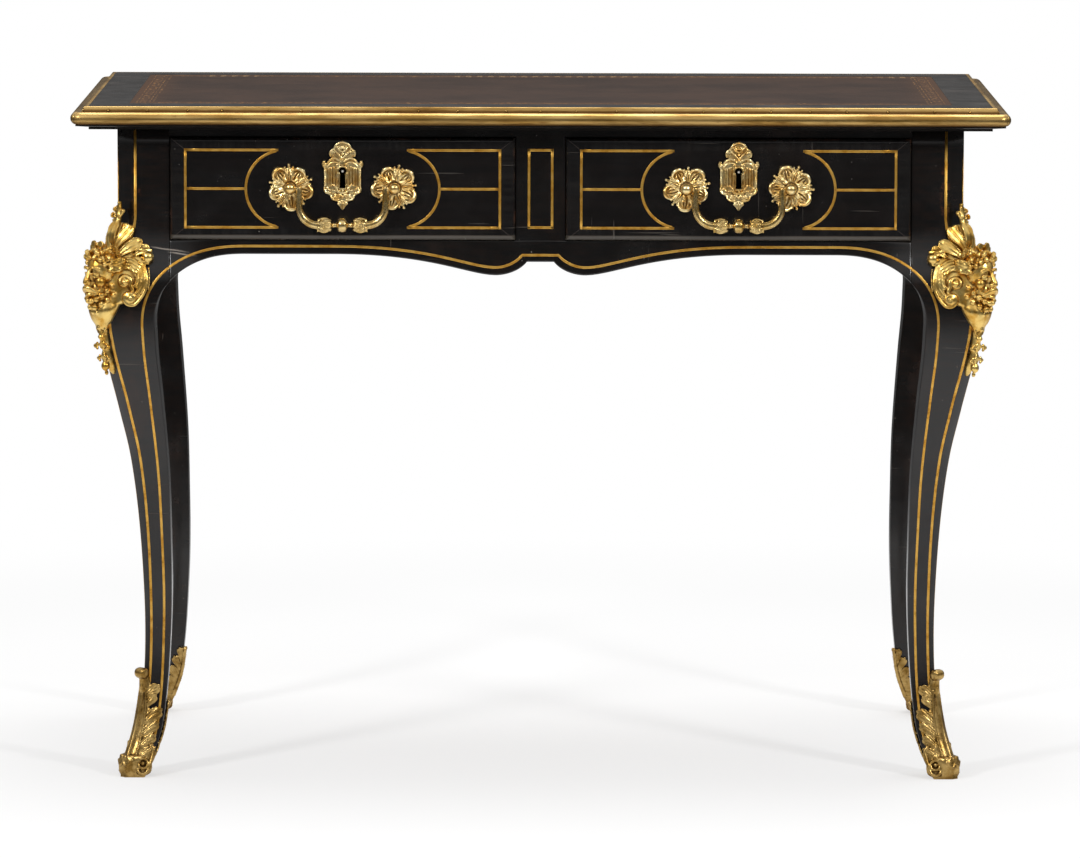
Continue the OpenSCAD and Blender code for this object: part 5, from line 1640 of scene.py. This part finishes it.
# each lobe is a fan of three narrow ones: place of its tip, place of its root, width
outerLobes = [
    (17.5, 103, 2, 88, 12), (15, 92, 2, 76, 10), (23.5, 76, 3, 57, 14), (23, 61, 4, 44, 11.5),
    (22.5, 47, 6, 31, 11), (26, 34, 9, 20, 10),
]
innerLobes = [
    (5.5, 82, 0, 66, 8), (11, 71.5, 0.5, 55, 9), (15.5, 59, 1, 44, 9.5),
    (20, 46.5, 3, 32, 10), (24, 34, 5, 21, 10),
]
bud = {"height": 116, "lift": 7.4, "radius": 6.2, "half": 7.4}
toe = {"u": -18.4, "z": 12.6, "radius": 12.7, "square": 3.6}
# across the bud, and how thick it is there
budRings = ((-1, 0.5), (-0.88, 0.84), (-0.5, 1), (0, 1.02), (0.5, 1), (0.88, 0.84), (1, 0.5))
# half of the toe's block in plan: place across, size, how far it falls back
toePlan = [(0, 0.97, 0), (3, 0.98, 0), (7.5, 1, 0.8), (10.5, 1, 3.2), (12.8, 0.95, 6.2), (14, 0.86, 8.6),
           (14.4, 0.7, 9.5)]
toeRing = {"a": -27, "z": 15.6, "radius": 5.4, "lift": 4.4}
toeArm = [(-21, 14, 3.6), (-21.6, 7, 3.8), (-26.4, 4.2, 3.8), (-31.6, 6.4, 3.6), (-34.4, 13, 3.4),
          (-37, 22, 3.2), (-38.6, 30, 3.4), (-35.6, 35.6, 4.4)]


def sabotLobes(side, lobes, lift):
    shells = []
    for s, z, rootS, rootZ, width in lobes:
        reach = math.hypot(s - rootS, z - rootZ)
        alongS, alongZ = (s - rootS) / reach, (z - rootZ) / reach
        middle = ((s + rootS) / 2, (z + rootZ) / 2)
        up = side(*middle, 10) - side(*middle, 0)
        for k in (-1, 1, 0):
            turn, back = 0.34 * width * k, 0.2 * width * abs(k)
            tip = side(s + alongZ * turn - alongS * back, z - alongS * turn - alongZ * back,
                       lift + 0.5 - 0.5 * abs(k))
            root = side(rootS + 0.3 * alongZ * turn, rootZ - 0.3 * alongS * turn, lift)
            shells.append(plume(root, tip, up, 0.52 * width, 1.2, 0.5, 1.0, 1.3, 14, 9, 1))
    return shells


def lathedAcross(u, z, sections, square=2.0, sides=36):
    # rounded block along the corner's width: place across it, radius and set-back of each section
    rings = []
    for v, size, back in sections:
        ring = []
        for a in np.linspace(0, 2 * math.pi, sides, endpoint=False):
            c, w = math.cos(a), math.sin(a)
            reach = size / (abs(c) ** square + abs(w) ** square) ** (1 / square)
            ring.append(diagonal(u - back + reach * c, v, z + reach * w))
        rings.append(ring)
    return outward(loft(rings))


def sabotShape():
    d = diagonal
    grown = [legRing(z, 0.9 + 2.0 * float(smoothstep(z / 9)) + 0.3 * math.sin(z / 2.6))
             for z in np.linspace(0, 27, 18)]
    shells = [outward(loft(grown)), outward(loft([legRing(z, 3.4) for z in (24.6, 26.6, 28.2)]))]
    outer = [(112, 5, 5), (106, 6, 4.6), (100, 9, 3.8), (92, 9.5, 3.6), (84, 8.5, 3.4), (77, 8.5, 3.6),
             (70, 15, 3.8), (60, 16, 3.8), (52, 15.5, 3.8),
             (46, 15, 3.8), (38, 19, 3.8), (30, 23, 4), (20, 26, 4)]
    shells.append(shield(outer, edge=1.2, steps=3))
    inner = [(80, 2, 2.6), (72, 5, 2.4), (60, 8, 2.4), (50, 10, 2.4), (38, 15, 2.6), (24, 20, 3)]
    shells.append(shield(inner, onInner, edge=1.0, steps=3))
    half = sabotLobes(onCorner, outerLobes, 2.7) + sabotLobes(onInner, innerLobes, 1.8)
    ridge = bend([onCorner(0, z, h) for z, h in ((24, 4.4), (50, 5), (75, 4.8), (96, 4.8), (108, 5.8))], 6)
    shells.append(tube(ridge, np.linspace(2.6, 1.8, len(ridge)), 8))
    half.append(tube(bend([onCorner(s, z, 4.2) for s, z in ((7, 26), (6.4, 50), (5.4, 74), (3.4, 98))], 5),
                     1.0, 6))
    inRidge = bend([onInner(0, z, h) for z, h in ((22, 3.2), (50, 3.4), (79, 3))], 6)
    shells += [tube(inRidge, np.linspace(2.2, 1.5, len(inRidge)), 8),
               ball(onInner(0, 80.5, 3.2), (2.9, 2.9, 2.6), 8, 10)]
    # rolled bud on a neck at the top
    u = diagAt(bud["height"]) + bud["lift"]
    sections = [(bud["half"] * v, bud["radius"] * size, 0) for v, size in budRings]
    neck = bend([onCorner(0, 96, 2.4), onCorner(0, 104, 3.4), onCorner(0, 112, 5)], 4)
    shells += [lathedAcross(u, bud["height"], sections, 2.2, 24),
               tube(neck, np.linspace(5.4, 4.6, len(neck)), 12),
               ball(onCorner(0, 101, 5.6), (2.4, 3.6, 2.6), 8, 10)]
    # toe: rounded block, a ring and a broad arm at each side of the foot, knobs on top and a leaf in front
    plan = [(-v, size, back) for v, size, back in toePlan[:0:-1]] + toePlan
    sections = [(v, toe["radius"] * size, back) for v, size, back in plan]
    shells.append(lathedAcross(toe["u"], toe["z"], sections, toe["square"]))
    ring = [onFace(toeRing["a"] + toeRing["radius"] * math.cos(a),
                   toeRing["z"] + toeRing["radius"] * math.sin(a), toeRing["lift"])
            for a in np.linspace(0, 2 * math.pi, 25)]
    half += [tube(ring, 1.55, 8), ball(onFace(toeRing["a"], toeRing["z"], toeRing["lift"]), 2.2, 8, 10)]
    arm = bend([onFace(*spot) for spot in toeArm], 5)
    half.append(tube(arm, np.linspace(1.5, 2.5, len(arm)), 8))
    for v, size, back in ((-9.2, 2.5, 2.6), (-4.7, 2.9, 0.4), (0, 2.4, 0)):
        half.append(ball(d(toe["u"] + 8.6 - back, v, toe["z"] + 10), size, 8, 10))
    half.append(tube(bend([d(toe["u"] + 9.4, -10.6, 19), d(toe["u"] + 12.4, -5.4, 13.4),
                           d(toe["u"] + 12.6, -0.5, 17.4)], 5), 1.3, 8))
    shape = cast("sabot", shells + swapped(half), 0.62, 1, keep=0.5)
    shape["points"][:, 2] = np.maximum(shape["points"][:, 2], 0.02)
    return shape


castAtCorners("mask_", maskShape(), maskGilt)
castAtCorners("sabot_", sabotShape(), sabotGilt)
print("masks and sabots ready")

# Handles, drawn round the pivot line: x across, y out from the face, z up
handle = {"spread": 58.5, "height": 670.5, "out": 14.5, "drop": 41.3, "ball": 6.25, "hole": 2.1,
          "gripEnd": 27, "armX": 48.3}


# Shell turned round the X axis from (x, radius) pairs
def turned(profile, sides=40):
    a = np.linspace(0, 2 * math.pi, sides, endpoint=False)
    rings = [np.stack([np.full(sides, float(x)), r * np.cos(a), r * np.sin(a)], 1) for x, r in profile]
    return outward(loft(rings))


def rosetteShape():
    petal = [leaf((0, 1.6, 3), (0, 2.6, 24.4), (0, 1, 0), 17, 1.6, 0.4, 1, 1.5, 1.0, 20, 15)]
    rim = bend([(-6.8, 2.2, 14), (-6.9, 4.4, 19.5), (-4.2, 6.2, 23.2), (0, 6.8, 24.2), (4.2, 6.2, 23.2),
                (6.9, 4.4, 19.5), (6.8, 2.2, 14)], 6)
    petal.append(tube(rim, 0.9 + 1.2 * np.sin(np.linspace(0, math.pi, len(rim))), 8))
    petal += [tube(bend([(x * 0.4, 3.4, 6), (x, 4.6, 13), (x * 0.9, 4.0, 19)], 5), 0.85, 6)
              for x in (-3.4, 0, 3.4)]
    pointed = [leaf((0, 3.4, 3), (0, 4.4, 25.2), (0, 1, 0), 9.5, 3.0, 1.6, 3, 1.6, 1.6, 20, 13),
               ball((0, 5.6, 24.6), (1.7, 1.4, 1.6), 6, 8)]
    for side in (-1, 1):
        pointed.append(leaf((side * 1.6, 4, 9), (side * 4.6, 4.6, 22.6), (0, 1, 0), 5, 1.8, 1.6, 1, 1.3, 0.7,
                            10, 7))
        pointed.append(ball((side * 4.5, 5, 22), 1.2, 6, 8))
    small = leaf((0, 3.4, 3), (0, 5.8, 14.5), (0, 1, 0), 6.6, 1.6, 1.6, 1, 1.1, 0.9, 12, 9)
    seed = ball((0, 5.6, 8.2), 1.25, 5, 8)
    base = turned([(0, 17), (1.6, 17), (3.4, 9), (4.6, 7.4), (5.6, 6.6), (6.2, 4.6), (6.3, 2)], 32)
    base = base[0][:, [1, 0, 2]], turnFaces(base[1])
    step = 2 * math.pi / 5
    sets = [
        (ringOf, joinShells(petal), {"Count": 5, "Turn": 0.14, "Wobble": 0.05, "Seed": 4}),
        (ringOf, joinShells(pointed), {"Count": 5, "Turn": 0.14 + step / 2, "Wobble": 0.05, "Seed": 9}),
        (ringOf, small, {"Count": 10, "Turn": 0.3, "Wobble": 0.12, "Seed": 2}),
        (ringOf, seed, {"Count": 12, "Turn": 0.1, "Wobble": 0.1, "Seed": 6}),
    ]
    shape = cast("rosette", [growShell("rosetteBase", base, sets, handleGilt)], 0.42, 1, 14, 0.32, 0.42)
    # painted shadow ring round the knob at the centre
    return darkenNear(shape, (0, 0), 6.2, 2.5)


def darkenNear(shape, centre, radius, fade, highest=99.0):
    # painted shade round a point of the face, a dark ring that stands in for shadow
    away = np.hypot(shape["points"][:, 0] - centre[0], shape["points"][:, 2] - centre[1])
    paintedShade = np.clip((radius + fade - away) / fade, 0, 1) * (shape["points"][:, 1] < highest)
    shape["hollowAndShade"] = np.maximum(shape["hollowAndShade"], paintedShade)
    return shape


def postShape():
    r, hole = handle["ball"], handle["hole"]
    mouth = math.asin(hole / r)
    profile = [(-1.4, 0), (-1.4, hole), (-r * math.cos(mouth) + 0.3, hole),
               (-r * math.cos(mouth) - 0.05, hole + 0.2)]
    profile += [(-r * math.cos(a), r * math.sin(a))
                for a in np.linspace(mouth + 0.09, math.pi - 0.05, 26)] + [(r, 0)]
    points, faces = turned(profile[::-1], 40)
    points[:, 1] += handle["out"]
    neck = turned([(-12, 2.5), (5.4, 2.5), (5.5, 4.6), (6.6, 4.6), (7, 3.4), (9.8, 3.2)], 24)
    neck = neck[0][:, [1, 0, 2]], turnFaces(neck[1])
    return joinShells([outward((points, faces)), outward(neck)])


def bailShape():
    x0, end, drop = handle["armX"], handle["gripEnd"], handle["drop"]
    turnR = x0 - end
    half = [turned([(x0 - 1, 1.9), (x0 + 1.6, 1.9), (x0 + 2.2, 2.9), (x0 + 3.2, 2.9), (x0 + 3.6, 2.0),
                    (handle["spread"] - 1.9, 2.0)], 24)]
    # arm with two grooves along its face and its back
    path = [(x0 + 1.4, 0, 0.4), (x0 + 0.5, 0, -0.8), (x0, 0, -4), (x0 + 0.5, 0, -12), (x0 + 0.1, 0, -19)]
    path += [(end + turnR * math.cos(a), 0, turnR - drop - turnR * math.sin(a))
             for a in np.radians([12, 26, 40, 54, 68, 80])]
    path = bend(path + [(end, 0, -drop), (end - 4, 0, -drop)], 6)
    lengths = np.linspace(0, 1, len(path))
    along = np.gradient(path, axis=0)
    grooves = (0.62, math.pi - 0.62, math.pi + 0.62, -0.62)
    a = np.linspace(0, 2 * math.pi, 40, endpoint=False)
    rings = []
    for k, (p, t) in enumerate(zip(path, along)):
        t = unit(t)
        side = np.cross(t, (0, 1, 0))
        size = 3.4 + 1.05 * float(smoothstep(lengths[k] * 1.2))
        apart = [np.mod(a - c + math.pi, 2 * math.pi) - math.pi for c in grooves]
        cut = 1 - 0.17 * float(smoothstep(lengths[k] * 6)) * sum(np.exp(-(gap / 0.13) ** 2) for gap in apart)
        ring = p + np.outer(np.sin(a) * size * cut * 0.86, (0, 1, 0))
        rings.append(ring + np.outer(np.cos(a) * size * cut, side))
    half.append(outward(loft(rings)))
    # acanthus cup that ends each arm
    cup = turned([(11.4, 1.8), (12.2, 4.2), (13, 6), (14.6, 6.8), (16.8, 7), (19.5, 6.5), (23, 5.4),
                  (26, 4.4), (27, 3.6)], 32)
    husk = leaf((14, 0, 5.2), (27.5, 0, 5.2), (0, 0, 1), 7.6, 1.9, 1.1, 3, 1.2, 1.1, 16, 9)
    sepal = leaf((13.6, 0, 6), (21.5, 0, 6.8), (0, 0, 1), 4.6, 1.0, 0.9, 1, 1.1, 0.8, 12, 7)
    bead = ball((13.2, 0, 6), 0.85, 5, 8)
    grown = growShell("cup", cup, [
        (ringOf, husk, {"Count": 6, "Axis": (1.0, 0.0, 0.0), "Turn": 0.0, "Seed": 5}),
        (ringOf, sepal, {"Count": 6, "Axis": (1.0, 0.0, 0.0), "Turn": math.pi / 6, "Seed": 8}),
        (ringOf, bead, {"Count": 14, "Axis": (1.0, 0.0, 0.0), "Turn": 0.1, "Seed": 7}),
    ], handleGilt)
    half.append((grown[0] + [0, 0, -drop], grown[1]))
    r = 8.0
    middle = [(-11.8, 2.0), (-10.9, 2.25), (-10.3, 3.1), (-9.7, 3.1), (-9.2, 2.3), (-6.5, 2.25), (-6.2, 3.4),
              (-5.6, 3.7), (-5.3, 4.4), (-4.6, 6.2), (-3.4, 7.4), (-1.7, r - 0.1)]
    middle += [(-x, s) for x, s in middle[::-1]]
    knob = turned(middle, 40)
    return cast("bail", mirrored(half) + [(knob[0] + [0, 0, -drop], knob[1])], 0.42, 1, 14, 0.32)


def toFace(centreX, side, raised=0.0):
    # side -1 is the front, 1 the rear; the face stands at the drawer front's raised panel
    return lambda p: np.stack([centreX + p[:, 0], side * (desk["faceY"] + raised + p[:, 1]),
                               handle["height"] + p[:, 2]], 1)


def joinCasts(parts):
    points, faces = joinShells([(p["points"], p["faces"]) for p in parts])
    return {"points": points, "faces": faces, "hollowAndShade": np.concatenate([p["hollowAndShade"] for p in parts])}


def makeHandles():
    rosette, post, bail = rosetteShape(), postShape(), bailShape()
    x = desk["drawerX"]
    # first word of the pieces' names, their body, their side, and the centre and first word of each bail
    sets = [("left_", "left_drawer", -1, {-x: "left_"}), ("right_", "right_drawer", -1, {x: "right_"}),
            ("rear_", "carcass", 1, {-x: "rear_left_", x: "rear_right_"})]
    for word, body, side, bails in sets:
        flowers, knobs = [], []
        for centre in bails:
            for s in (-1, 1):
                move = toFace(centre + s * handle["spread"], side)
                # no two flowers stand at the same angle
                a = 0.5 * s + centre * 0.011
                turn = np.array([[math.cos(a), 0, math.sin(a)], [0, 1, 0], [-math.sin(a), 0, math.cos(a)]])
                flowers.append({**rosette, "points": move(rosette["points"] @ turn)})
                knobs.append(outward((move(post[0] * [s, 1, 1]), post[1])))
        name = word + "rosettes"
        mount(castPiece(name, joinCasts(flowers), handleGilt, None, side < 0), body, name)
        name = word + "handle_posts"
        mount(makePiece(name, *joinShells(knobs), handleGilt), body, name)
        for centre, word in bails.items():
            move = toFace(centre, side, handle["out"])
            mount(castPiece(word + "bail", bail, bailGilt, move, side < 0), word + "handle",
                  word + "bail")


makeHandles()
print("handles ready")


# Keyhole plates, drawn round the keyhole: x across, y out from the face, z the desk's own height
plateSizes = {"keyRadius": 4.0, "thick": 1.9}


def rayPolygon(outline, centre, angle):
    # farthest crossing of a ray with a closed outline
    direction, best = np.array([math.sin(angle), math.cos(angle)]), 0.0
    for k in range(len(outline)):
        a, b = np.array(outline[k]) - centre, np.array(outline[(k + 1) % len(outline)]) - centre
        edge = b - a
        cross = direction[0] * edge[1] - direction[1] * edge[0]
        if abs(cross) < 1e-9:
            continue
        reach = (a[0] * edge[1] - a[1] * edge[0]) / cross
        share = (a[0] * direction[1] - a[1] * direction[0]) / cross
        if reach > 0 and -1e-9 <= share <= 1 + 1e-9:
            best = max(best, reach)
    return best


def bothSides(half):
    return half + [(-x, z) for x, z in half[::-1] if x > 1e-6]


def flatSlab(outline, thick, bevel=0.9):
    outline = np.array(outline)
    middle = outline.mean(0)
    rings = []
    for grow, h in ((0.96, -0.3), (1.0, 0.2), (1.0, thick * 0.55), (1 - bevel / 14, thick)):
        p = middle + (outline - middle) * grow
        rings.append(np.stack([p[:, 0], np.full(len(p), h), p[:, 1]], 1))
    return outward(loft(rings))


def plateShape():
    key, r, thick = desk["keyZ"], plateSizes["keyRadius"], plateSizes["thick"]
    body = bothSides([(0, 704), (9.8, 704), (12.4, 702), (16.6, 698.6), (19.6, 694), (20.5, 690), (20.6, 668),
                      (17.8, 663.4), (12.4, 660), (0, 659)])
    hole = bothSides([(r * math.sin(a), key + r * math.cos(a))
                      for a in np.radians([0, 20, 40, 60, 80, 100, 120, 140])] + [(2.3, 685), (3.1, 674.4),
                                                                                  (3.9, 669.8), (0, 669.8)])
    centre = np.array([0, key])
    angles = np.linspace(0, 2 * math.pi, 144, endpoint=False)
    outer = [rayPolygon(body, centre, a) for a in angles]
    inner = [rayPolygon(hole, centre, a) for a in angles]
    rings = []
    # share of the way from the hole to the edge, height
    for t, h in ((0.0, -0.3), (0.0, thick * 0.7), (0.05, thick + 0.2), (0.16, thick + 0.3),
                 (0.24, thick - 0.7), (0.5, thick - 0.9),
                 (0.78, thick - 0.7), (0.86, thick + 0.3), (0.96, thick + 0.2), (1.0, thick * 0.5),
                 (1.0, -0.3)):
        ring = []
        for a, far, near in zip(angles, outer, inner):
            reach = near + (far - near) * t
            ring.append((reach * math.sin(a), h, key + reach * math.cos(a)))
        rings.append(ring)
    ringPoints = np.concatenate([np.array(q) for q in rings])
    total = len(ringPoints)
    ringFaces = [[k % total for k in face] for face in gridFaces(len(rings) + 1, len(angles), True)]
    shells = [outward((ringPoints, ringFaces))]
    crest = bothSides([(0, 722), (2.5, 721.2), (6.5, 719), (9.6, 716), (10.4, 713.6), (13.2, 712.2),
                       (14.3, 708.8), (12.6, 705.4), (10.4, 703.4), (0, 701)])
    shells.append(flatSlab(crest, thick))
    foot = bothSides([(0, 662), (13.6, 661.6), (12.2, 658), (8.4, 655.8), (5.4, 654.4), (6.2, 651.8),
                      (3.2, 649), (1, 645.4), (0, 645)])
    shells.append(flatSlab(foot, thick))
    half = []

    def rib(points, radius, steps=5):
        path = bend([(x, h, z) for x, z, h in points], steps)
        half.append(tube(path, np.interp(np.linspace(0, 1, len(path)), np.linspace(0, 1, len(radius)),
                                         radius), 8))

    def roll(x, z, size, turns, phase, way, h=2.6):
        path = spiral((x, h, z), (1, 0, 0), (0, 0, way), size, size * 0.2, turns, phase, 22)
        half.append(tube(path, np.linspace(size * 0.34, size * 0.22, len(path)), 7))
        half.append(ball((x, h - 0.6, z), (size * 0.8, 1.4, size * 0.8), 6, 10))

    # crest: arched rim, flower, crossing straps and side rolls
    rib([(13.2, 705.5, 2), (14, 709, 2.5), (12, 712.4, 2.6), (9.4, 714.5, 2.4), (7.4, 718, 2.4),
         (3.6, 720.8, 2.5), (-0.4, 722, 2.5)], (1.1, 1.3, 1.0, 1.2, 1.2, 1.1), 5)
    roll(11, 708.6, 2.7, 1.2, 0.6, 1)
    rib([(9, 712.5, 2.2), (4.8, 708, 3), (0.4, 703.6, 3.2)], (0.8, 1.2, 0.9))
    rib([(6.2, 716, 2.2), (3.6, 712.5, 2.8), (0, 710.6, 3)], (0.8, 1.0, 0.8))
    half.append(leaf((1.2, 1.8, 713), (4.6, 2.8, 717), (0, 1, 0), 3.4, 0.8, 0.6, 1, 1, 0.5, 8, 7))
    shells += [ball((0, 2.8, 715.6), (2.1, 1.6, 2.1), 6, 10), ball((0, 2, 722), (1.5, 1.3, 1.5), 6, 8),
               ball((0, 2.8, 708), (1.6, 1.4, 1.6), 6, 10)]
    # shoulders that curl up to the middle, and the ears
    rib([(17, 697.6, 2.2), (13, 702, 2.8), (8.4, 703.4, 3), (4, 701.4, 3.1), (1.4, 699.6, 3.1)],
        (1.2, 1.4, 1.3, 1.1, 1.0), 6)
    rib([(16.4, 694.6, 2), (12, 698.4, 2.2), (7, 698.8, 2.6), (3, 696.2, 2.7)], (0.8, 1.1, 1.0, 0.9), 6)
    roll(5.6, 695.4, 2.2, 1.1, 2.4, 1, 2.4)
    rib([(18.4, 690.5, 2), (20.6, 694, 2.4), (22, 697, 2.4), (20.6, 699.4, 2.2)], (1.1, 1.5, 1.4, 1.1), 6)
    half += [ball((20.8, 2.2, 699), 1.9, 6, 10), ball((19.8, 1.6, 695), (2.4, 1.5, 3.4), 6, 10)]
    # rim of the keyhole and upright flutes of the panels
    rib([(3.6, 672, 2.4), (3.6, 684.6, 2.4), (5.2, 687.6, 2.5), (4.6, 691.8, 2.5), (2, 694, 2.6),
         (-0.3, 694.4, 2.6)], (0.6, 0.7, 0.8, 0.9, 0.8), 6)
    for x, radius in ((6.2, 0.9), (9.4, 1.25), (12.6, 1.1), (15.4, 0.9)):
        rib([(x, 673.5 - (x - 9) * 0.2, 1.6), (x, 683, 1.8), (x, 694 - (x - 6) * 0.25, 1.6)],
            (radius * 0.7, radius, radius * 0.7))
    # lower straps, corner rolls and lobes
    rib([(10.4, 673.4, 2), (7, 670, 2.8), (4.6, 665.6, 3), (0, 664.2, 3)], (0.9, 1.3, 1.2, 1.1), 6)
    rib([(19.6, 672, 2), (20.2, 668, 2.4), (17.6, 664.6, 2.6), (13.6, 664.4, 2.4)], (1.0, 1.3, 1.3, 1.0), 6)
    roll(17, 667.4, 3.0, 1.3, 0.3, -1)
    roll(10.4, 666.2, 2.6, 1.2, 2.6, 1)
    half.append(leaf((1.5, 1.6, 662.5), (11, 2.2, 658.5), (0, 1, 0), 7.5, 1.4, 0.8, 2, 1.1, 0.8, 12, 9))
    rib([(13.4, 661.6, 1.9), (11.8, 658.2, 2.2), (8, 656.2, 2.2), (4, 656.6, 2.2)], (0.8, 1.1, 1.1, 0.9), 6)
    half += [leaf((0.8, 1.4, 655.5), (5.8, 2, 652), (0, 1, 0), 3.6, 0.8, 0.6, 1, 1, 0.5, 8, 7),
             ball((2.2, 2.2, 662), 1.5, 6, 8)]
    shells += [leaf((0, 1.4, 656), (0, 2, 645.4), (0, 1, 0), 4.4, 1.2, 0.8, 1, 1, 0.6, 12, 7),
               ball((0, 2.6, 660.2), 1.6, 6, 8), ball((0, 2.6, 666.8), (1.3, 1, 1), 5, 8)]
    # beads down both sides
    bead = ball((0, 0, 0), (1.15, 1.1, 1.25), 6, 10)
    grown = growShell("beads", ball((19.4, 1, 680), 0.8, 5, 8), [
        (rowOf, bead, {"Count": 10, "Start": tuple(np.array((19.7, 1.9, 672)) * mm),
                       "End": tuple(np.array((19.9, 1.9, 691)) * mm), "Wobble": 0.12, "Seed": 3}),
    ], handleGilt)
    half.append(grown)
    shape = cast("plate", shells + mirrored(half), 0.4, 1, 12, 0.28)
    # painted shade on the keyhole's inner walls and down its slot
    darkenNear(shape, (0, key), r - 0.2, 0.5, thick + 0.2)
    return darkenNear(shape, (0, 676), 2.8, 1.2, thick - 0.4)


def makePlates():
    shape = plateShape()
    x = desk["drawerX"]
    sets = [("left_keyhole_plate", "left_drawer", [-x], -1), ("right_keyhole_plate", "right_drawer", [x], -1),
            ("rear_keyhole_plates", "carcass", [-x, x], 1)]
    across, out, up = shape["points"].T
    for name, body, centres, side in sets:
        y = side * (desk["faceY"] + np.maximum(out, 0.0))
        copies = [{**shape, "points": np.stack([centre + across, y, up], 1)} for centre in centres]
        mount(castPiece(name, joinCasts(copies), handleGilt, None, side < 0), body, name)


makePlates()
print("keyhole plates ready")
